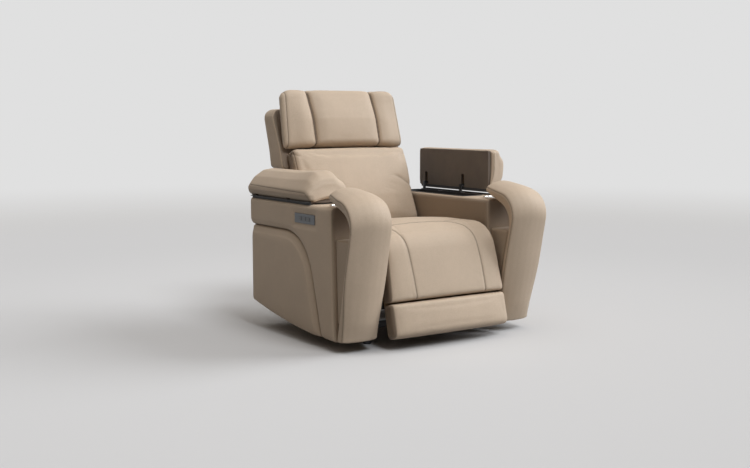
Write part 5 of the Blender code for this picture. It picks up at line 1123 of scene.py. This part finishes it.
def scroll_path(spec):
    """Path of the scroll's back or face: up, over and to the rear, at even shares of its three stretches."""
    y0, lean, run, radius, turn, nose = spec
    lean, turn = math.radians(lean), math.radians(turn)
    corner = (y0 - math.sin(lean) * run, SCROLL_FOOT_Z + math.cos(lean) * run)
    centre = (corner[0] + math.cos(lean) * radius, corner[1] + math.sin(lean) * radius)
    first = math.pi + lean
    last = first - turn
    end = (centre[0] + radius * math.cos(last), centre[1] + radius * math.sin(last))
    ahead = (math.cos(last - math.pi / 2), math.sin(last - math.pi / 2))
    shares = [i / PATH_STEPS for i in range(PATH_STEPS + 1)]
    points = [(y0 + (corner[0] - y0) * t, SCROLL_FOOT_Z + (corner[1] - SCROLL_FOOT_Z) * t) for t in shares[:-1]]
    points += [(centre[0] + radius * math.cos(first - turn * t), centre[1] + radius * math.sin(first - turn * t))
               for t in shares[:-1]]
    points += [(end[0] + ahead[0] * (nose + NOSE_OVERRUN) * t, end[1] + ahead[1] * (nose + NOSE_OVERRUN) * t)
               for t in shares]
    return np.array(points)


def scroll_depth(co):
    """Depth of each point between the scroll's back path and its face path, in metres from the face."""
    best = np.full(len(co), np.inf)
    found = np.zeros(len(co))
    for b, f in zip(scroll_path(SCROLL_BACK), scroll_path(SCROLL_FACE)):
        thick = np.hypot(*(f - b))
        d = (f - b) / thick
        ey, ez = co[:, 1] - b[0], co[:, 2] - b[1]
        off = np.abs(ey * d[1] - ez * d[0])
        nearer = off < best
        best = np.where(nearer, off, best)
        found = np.where(nearer, ey * d[0] + ez * d[1] - thick, found)
    return found


def scroll_seams(co, normals):
    return [(scroll_depth(co) + SCROLL_SEAM, np.ones(len(co), bool))]


def scroll_held(co, normals, seams):
    return held_by(seams, scroll_depth(co) < SCROLL_BACK_DEPTH, SCROLL_HELD)


def scroll_shaped(co, normals):
    """Fuller sides, most of all on the outside."""
    low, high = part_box("front_scroll_left")
    across = (co[:, 0] - (low.x + high.x) / 2) / ((high.x - low.x) / 2)
    share = eased(co[:, 2], FULL_Z) * fading(co[:, 1], FULL_Y) * eased(scroll_depth(co), FULL_DEPTH)
    moved = co + normals * (SCROLL_FULL * share)[:, None]
    moved[:, 0] += np.where(across > 0, SCROLL_IN, SCROLL_OUT) * eased(np.abs(across), FULL_ACROSS) * share
    return moved


def scroll_folds(co, normals):
    """Shade on the back, inside the curl."""
    return [shaded(fading(scroll_depth(co), CURL_DEPTH) * eased(co[:, 2], CURL_Z), CURL_SHADE)]


class RECLINER_OT_scrolls(bpy.types.Operator):
    """Fill the scrolls in front of the arms"""
    bl_idname = "recliner.scrolls"
    bl_label = "Front scrolls"

    def execute(self, context):
        left, seams = soft_piece("scroll_cover_left", ("front_scroll_left",), scroll_seams, scroll_held, True,
                                 smooth=6, cap=0.020, proud=0.004, shaped=scroll_shaped, folds_of=scroll_folds,
                                 relaxed=12)
        rows = stitched("scroll_stitches_left", left, seams, sizes().stitch_offset)
        for side, cover in sided(left):
            covers(cover, "front_scroll_" + side, "chair")
        for _, stitches in sided(rows):
            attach(stitches, "chair")
        return {"FINISHED"}


PANEL_BEND = (0.037, 0.482)      # the crease round the side panel: level, then a bend, then down
PANEL_KNEE = (-0.195, 0.300)
PANEL_FOOT = (-0.268, 0.044)
PANEL_REAR_Y = 0.420
BEND_HANDLE, KNEE_HANDLE = 0.120, 0.112         # how far the bend's curve keeps its direction at its ends
CREASE_OVERRUN = 0.1
CREASE_STEPS = 24
CREASE_SINK = 0.002
CREASE_FACING = 0.2
CREASE_SHADE = (0.0, 0.014, 0.7)
PLATE_CLEAR = (0.004, 0.028)                    # the leather is flat round the control plate
POST_SHADE = 0.35
FRONT_FACING, FRONT_Y = (0.45, 0.85), (0.03, 0.06)
FRONT_SHADES, FRONT_SHADE_Z = (0.35, 0.55), (0.42, 0.56)
SEAT_SIDE_X, SEAT_SIDE_FACING, SEAT_SIDE_SHADE = (-0.345, -0.330), (0.5, 0.9), 0.75


def panel_crease():
    """Points (y, z) of the crease, from the rear to the foot."""
    bend, knee, foot = Vector(PANEL_BEND), Vector(PANEL_KNEE), Vector(PANEL_FOOT)
    first = bend - Vector((BEND_HANDLE, 0))
    second = knee + (knee - foot).normalized() * KNEE_HANDLE
    points = [(PANEL_REAR_Y, PANEL_BEND[1])]
    for i in range(CREASE_STEPS + 1):
        t = i / CREASE_STEPS
        points.append(tuple(bend * (1 - t) ** 3 + first * 3 * t * (1 - t) ** 2 + second * 3 * t * t * (1 - t)
                            + knee * t ** 3))
    points.append(tuple(foot + (foot - knee).normalized() * CREASE_OVERRUN))
    return np.array(points)


def crease_distance(co):
    return chart_distance(co[:, 1], co[:, 2], panel_crease())


def crease_seams(co, normals):
    return [(crease_distance(co), (np.abs(chair_x(co)) > OUTER_X) & (np.abs(normals[:, 0]) > CREASE_FACING))]


def puffed(depth, reach):
    """Swells the arm's outer face away from the panel's crease, and keeps it flat round the control plate."""
    low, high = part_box("control_panel")

    def shaped(co, normals):
        away = np.abs(crease_distance(co))
        outer = np.clip(np.abs(normals[:, 0]), 0, 1) * (np.abs(chair_x(co)) > OUTER_X)
        beside = np.maximum(np.maximum(low.y - co[:, 1], co[:, 1] - high.y),
                            np.maximum(low.z - co[:, 2], co[:, 2] - high.z))
        share = (1 - np.exp(-(away / reach) ** 2)) * outer * eased(beside, PLATE_CLEAR)
        return co + normals * (depth * share - CREASE_SINK * outer * (away < reach))[:, None]

    return shaped


def arm_folds(co, normals):
    """Shade on the front face under the scroll's curl, along the crease, and on the side towards the seat."""
    behind = co[:, 1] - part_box("arm_left")[0].y
    least, gain = FRONT_SHADES
    inside = eased(-normals[:, 1], FRONT_FACING) * fading(behind, FRONT_Y)
    inside = inside * (least + gain * eased(co[:, 2], FRONT_SHADE_Z))
    seat_side = eased(chair_x(co), SEAT_SIDE_X) * eased(normals[:, 0], SEAT_SIDE_FACING)
    return [shaded(inside), (crease_distance(co), np.abs(chair_x(co)) > OUTER_X, *CREASE_SHADE),
            shaded(seat_side, SEAT_SIDE_SHADE)]


class RECLINER_OT_arms(bpy.types.Operator):
    """Cover the arm boxes, their side panels and the posts"""
    bl_idname = "recliner.arms"
    bl_label = "Arms and side panels"

    def execute(self, context):
        for name, node, fill, seams_of, form in (
                ("arm_cover_left", "arm_", 0.35, crease_seams,
                 {"proud": 0.0006, "dip": 0.8, "shaped": puffed(0.0045, 0.020), "folds_of": arm_folds}),
                ("post_cover_left", "front_post_", 0.35, no_seams,
                 {"proud": 0.0006, "smooth": 2, "folds_of": lambda co, n: [shaded(np.ones(len(co)), POST_SHADE)]}),
                ("panel_cover_left", "side_panel_", 0.5, crease_seams,
                 {"proud": 0.001, "shaped": puffed(0.0065, 0.032)})):
            left, _ = soft_piece(name, (node + "left",), seams_of, None, True, **form)
            for side, cover in sided(left):
                covers(cover, node + side, "chair")
        return {"FINISHED"}


# Frame, trays, cups and controls

LOOKS = {"tray_plastic": ("storage", "foot_", "footrest_drive", "recline_drive"), "cup_steel": ("cup",),
         "lid_lining": ("lid_board",), "link_zinc": ("footrest_fork", "recline_fork"),
         "board_plywood": ("footrest_board",), "plate_metal": ("control_panel",), "button_plastic": ("button",)}
# the strips and the binding are black cloth closing the slits under the lids, standing in for the shade in those
# gaps
STRIP_Z = (0.6050, 0.6132)                      # the strips under the lids, on the arms' tops
STRIP_INSET, STRIP_WIDTH = 0.0040, 0.0120       # from the arm's outer side
STRIP_ENDS = (0.016, 0.030)                     # how far they end inside the lid's pad, in front and behind
BINDING_WIDTH, BINDING_GAP = 0.0120, 0.0002     # the binding beside the shut lid's board
BINDING_Z, BINDING_REAR = (0.6136, 0.6170), 0.012
# a black cloth sheet behind the base, down to the floor, standing in for the shade under the recliner
REAR_SHADE_SHEET = ((-0.352, 0.306, 0.005), (0.276, 0.309, 0.240))
EDGE_BEVEL = 0.0006


def cloth_box(name, low, high):
    """A straight piece of stiff black cloth with softened edges, which stands in for shade where it lies."""
    bm = bmesh.new()
    bmesh.ops.create_cube(bm, size=1.0)
    for vert in bm.verts:
        vert.co = Vector(low[i] + (high[i] - low[i]) * (vert.co[i] + 0.5) for i in range(3))
    bmesh.ops.bevel(bm, geom=bm.edges[:], offset=EDGE_BEVEL, segments=2, affect="EDGES", profile=0.5)
    piece = new_object(name, bm)
    piece.data.materials.append(finish("shade_cloth"))
    return piece


class RECLINER_OT_hardware(bpy.types.Operator):
    """Finish the frame, linkage, trays, cups and controls"""
    bl_idname = "recliner.hardware"
    bl_label = "Frame and fittings"

    def execute(self, context):
        replaced = {n for o in bpy.data.objects for n in o.get("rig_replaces", [])}
        for node in NODES:
            if node not in replaced:
                looks = [look for look, starts in LOOKS.items() if node.startswith(starts)]
                dress_node(node, looks[0] if looks else "frame_paint")
        pad_low, pad_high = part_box("lid_pad_left")
        low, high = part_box("lid_board_left")
        binding = cloth_box("lid_binding_left", (low.x - BINDING_WIDTH, low.y, BINDING_Z[0]),
                            (low.x - BINDING_GAP, high.y - BINDING_REAR, BINDING_Z[1]))
        for side, piece in sided(binding, True):
            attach(piece, "lid_" + side)
        for side, sign in SIDES:
            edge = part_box("arm_" + side)[0 if sign < 0 else 1].x
            x0, x1 = sorted((edge - sign * STRIP_INSET, edge - sign * (STRIP_INSET + STRIP_WIDTH)))
            strip = cloth_box("lid_strip_" + side, (x0, pad_low.y + STRIP_ENDS[0], STRIP_Z[0]),
                              (x1, pad_high.y - STRIP_ENDS[1], STRIP_Z[1]))
            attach(strip, "chair")
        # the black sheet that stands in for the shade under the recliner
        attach(cloth_box("rear_shade_sheet", *REAR_SHADE_SHEET), "chair")
        y, z = next(joint["pos_m"] for joint in frame["joints"] if joint["name"] == "lift_swing")[1:]
        for side, sign in SIDES:
            low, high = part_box("lift_link_" + side)
            riveted("lift_rivets_" + side, (low.x if sign > 0 else high.x, y, z), (-sign, 0, 0), "lift")
        return {"FINISHED"}


# Studio

CAMERA_TURN = math.radians(-33.957)
CAMERA_TILT = math.radians(6.450)
CAMERA_REACH = 4.8855
CAMERA_LENS = 1043.7            # focal length in pixels of a picture this wide
PICTURE_WIDTH = 750
SENSOR = 36.0
CLIP_END = 200
AIM = (-0.0581, 0.4353)         # to the right of the middle, and up
FLOOR_RADIUS, FLOOR_SEGMENTS = 90, 64
FLOOR_DIM, FLOOR_DIM_SHARE = (1.2, 3.6), 0.94   # metres over which the floor dims
FLOOR_FAR = (4.0, 11.0)         # metres over which it takes the background's colour
FLOOR_GLOW = (3.6, 7.0)         # metres over which it stops showing the lamps' light
FLOOR_BOUNCE = (0.30, 0.30, 0.30)       # colour that it throws back on the recliner
WORLD_LIGHT, WORLD_STRENGTH = (1.0, 0.90, 0.80), 0.085
LAMPS = (("key_lamp", (0.05, -0.80, 0.90), 1.30, 24, (0.955, 1.0, 1.06)),
         ("side_lamp", (1.00, -0.35, 0.60), 2.05, 40, (0.965, 1.0, 1.05)),
         ("top_lamp", (0.05, 0.05, 1.0), 0.80, 70, (1.0, 0.98, 0.96)),
         ("fill_lamp", (-0.60, -0.20, 1.0), 0.24, 60, (1.0, 0.90, 0.80)))


def add_camera():
    """Stands where the photograph was taken from."""
    data = bpy.data.cameras.new("studio_camera")
    camera = linked("studio_camera", data)
    right = Vector((math.cos(CAMERA_TURN), math.sin(CAMERA_TURN), 0))
    ahead = Vector((-math.sin(CAMERA_TURN), math.cos(CAMERA_TURN), 0))
    aim = right * AIM[0] + Vector((MIDDLE_X, CHAIR_Y, AIM[1]))
    look = ahead * math.cos(CAMERA_TILT) - Vector((0, 0, math.sin(CAMERA_TILT)))
    camera.location = aim - look * CAMERA_REACH
    camera.rotation_euler = look.to_track_quat("-Z", "Y").to_euler()
    data.sensor_fit = "HORIZONTAL"
    data.sensor_width = SENSOR
    data.lens = CAMERA_LENS * SENSOR / PICTURE_WIDTH
    data.clip_end = CLIP_END
    bpy.context.scene.camera = camera


def add_sun(name, direction, strength, angle, colour):
    data = bpy.data.lights.new(name, "SUN")
    data.energy = strength
    data.color = colour
    data.angle = math.radians(angle)
    linked(name, data).rotation_euler = (-Vector(direction)).to_track_quat("-Z", "Y").to_euler()


def seen_rays(graph):
    """1 for rays from the camera and those seen in gloss or through glass."""
    path = graph.node("ShaderNodeLightPath").outputs
    total = graph.add(path["Is Camera Ray"], path["Is Glossy Ray"])
    return graph.math("ADD", total, path["Is Transmission Ray"], True)


def floor_material():
    """Takes shadows near the recliner, and far away glows in the background's colour."""
    material, graph, surface = shader("studio_floor", "ShaderNodeMixShader")
    away = graph.node("ShaderNodeVectorMath", "LENGTH", i0=graph.place()).outputs["Value"]
    near, far = tuple(colours().floor), tuple(colours().backdrop)
    dim = graph.mixed(graph.ramp(away, *FLOOR_DIM), near, varied(near, FLOOR_DIM_SHARE))
    diffuse = graph.node("ShaderNodeBsdfDiffuse", Color=graph.mixed(seen_rays(graph), FLOOR_BOUNCE, dim))
    glow = graph.node("ShaderNodeEmission", Color=graph.mixed(graph.ramp(away, *FLOOR_FAR), dim, far))
    share = graph.times(graph.ramp(away, *FLOOR_GLOW), seen_rays(graph))
    for socket, value in zip(surface.inputs, (share, diffuse.outputs[0], glow.outputs[0])):
        graph.put(socket, value)
    return material


def add_world():
    """Lights weakly, and shows the background's colour."""
    world = bpy.data.worlds.new("studio")
    bpy.context.scene.world = world
    world.use_nodes = True
    world.node_tree.nodes.clear()
    graph = Tree(world.node_tree)
    light = graph.node("ShaderNodeBackground", Color=WORLD_LIGHT, Strength=WORLD_STRENGTH)
    seen = graph.node("ShaderNodeBackground", Color=tuple(colours().backdrop), Strength=1.0)
    mix = graph.node("ShaderNodeMixShader", Fac=seen_rays(graph), i1=light.outputs[0], i2=seen.outputs[0])
    graph.node("ShaderNodeOutputWorld", Surface=mix.outputs[0])


class RECLINER_OT_studio(bpy.types.Operator):
    """Set the camera, lamps, floor and background"""
    bl_idname = "recliner.studio"
    bl_label = "Studio"

    def execute(self, context):
        context.scene.view_settings.view_transform = "Standard"
        add_camera()
        bm = bmesh.new()
        bmesh.ops.create_circle(bm, cap_ends=True, segments=FLOOR_SEGMENTS, radius=FLOOR_RADIUS)
        floor = new_object("studio_floor", bm)
        floor.data.materials.append(floor_material())
        add_world()
        for lamp in LAMPS:
            add_sun(*lamp)
        return {"FINISHED"}


class RECLINER_PT_panel(bpy.types.Panel):
    """Lists the steps that dress the recliner"""
    bl_idname = "RECLINER_PT_panel"
    bl_label = "Recliner"
    bl_space_type = "VIEW_3D"
    bl_region_type = "UI"
    bl_category = "Recliner"

    def draw(self, context):
        for group in (context.scene.recliner_sizes, context.scene.recliner_colours):
            column = self.layout.column()
            for name in group.__annotations__:
                column.prop(group, name)
        for step in STEPS:
            self.layout.operator(step.bl_idname)


STEPS = (RECLINER_OT_seat, RECLINER_OT_footrest_pad, RECLINER_OT_back, RECLINER_OT_headrest, RECLINER_OT_shell,
         RECLINER_OT_lids, RECLINER_OT_scrolls, RECLINER_OT_arms, RECLINER_OT_hardware, RECLINER_OT_studio)
CLASSES = (RECLINER_PG_sizes, RECLINER_PG_colours, *STEPS, RECLINER_PT_panel)


def register():
    for cls in CLASSES:
        bpy.utils.register_class(cls)
    bpy.types.Scene.recliner_sizes = PointerProperty(type=RECLINER_PG_sizes)
    bpy.types.Scene.recliner_colours = PointerProperty(type=RECLINER_PG_colours)


def unregister():
    del bpy.types.Scene.recliner_sizes
    del bpy.types.Scene.recliner_colours
    for cls in reversed(CLASSES):
        bpy.utils.unregister_class(cls)


def main():
    register()
    for step in STEPS:
        getattr(bpy.ops.recliner, step.bl_idname.split(".")[1])()


if __name__ == "__main__":
    main()
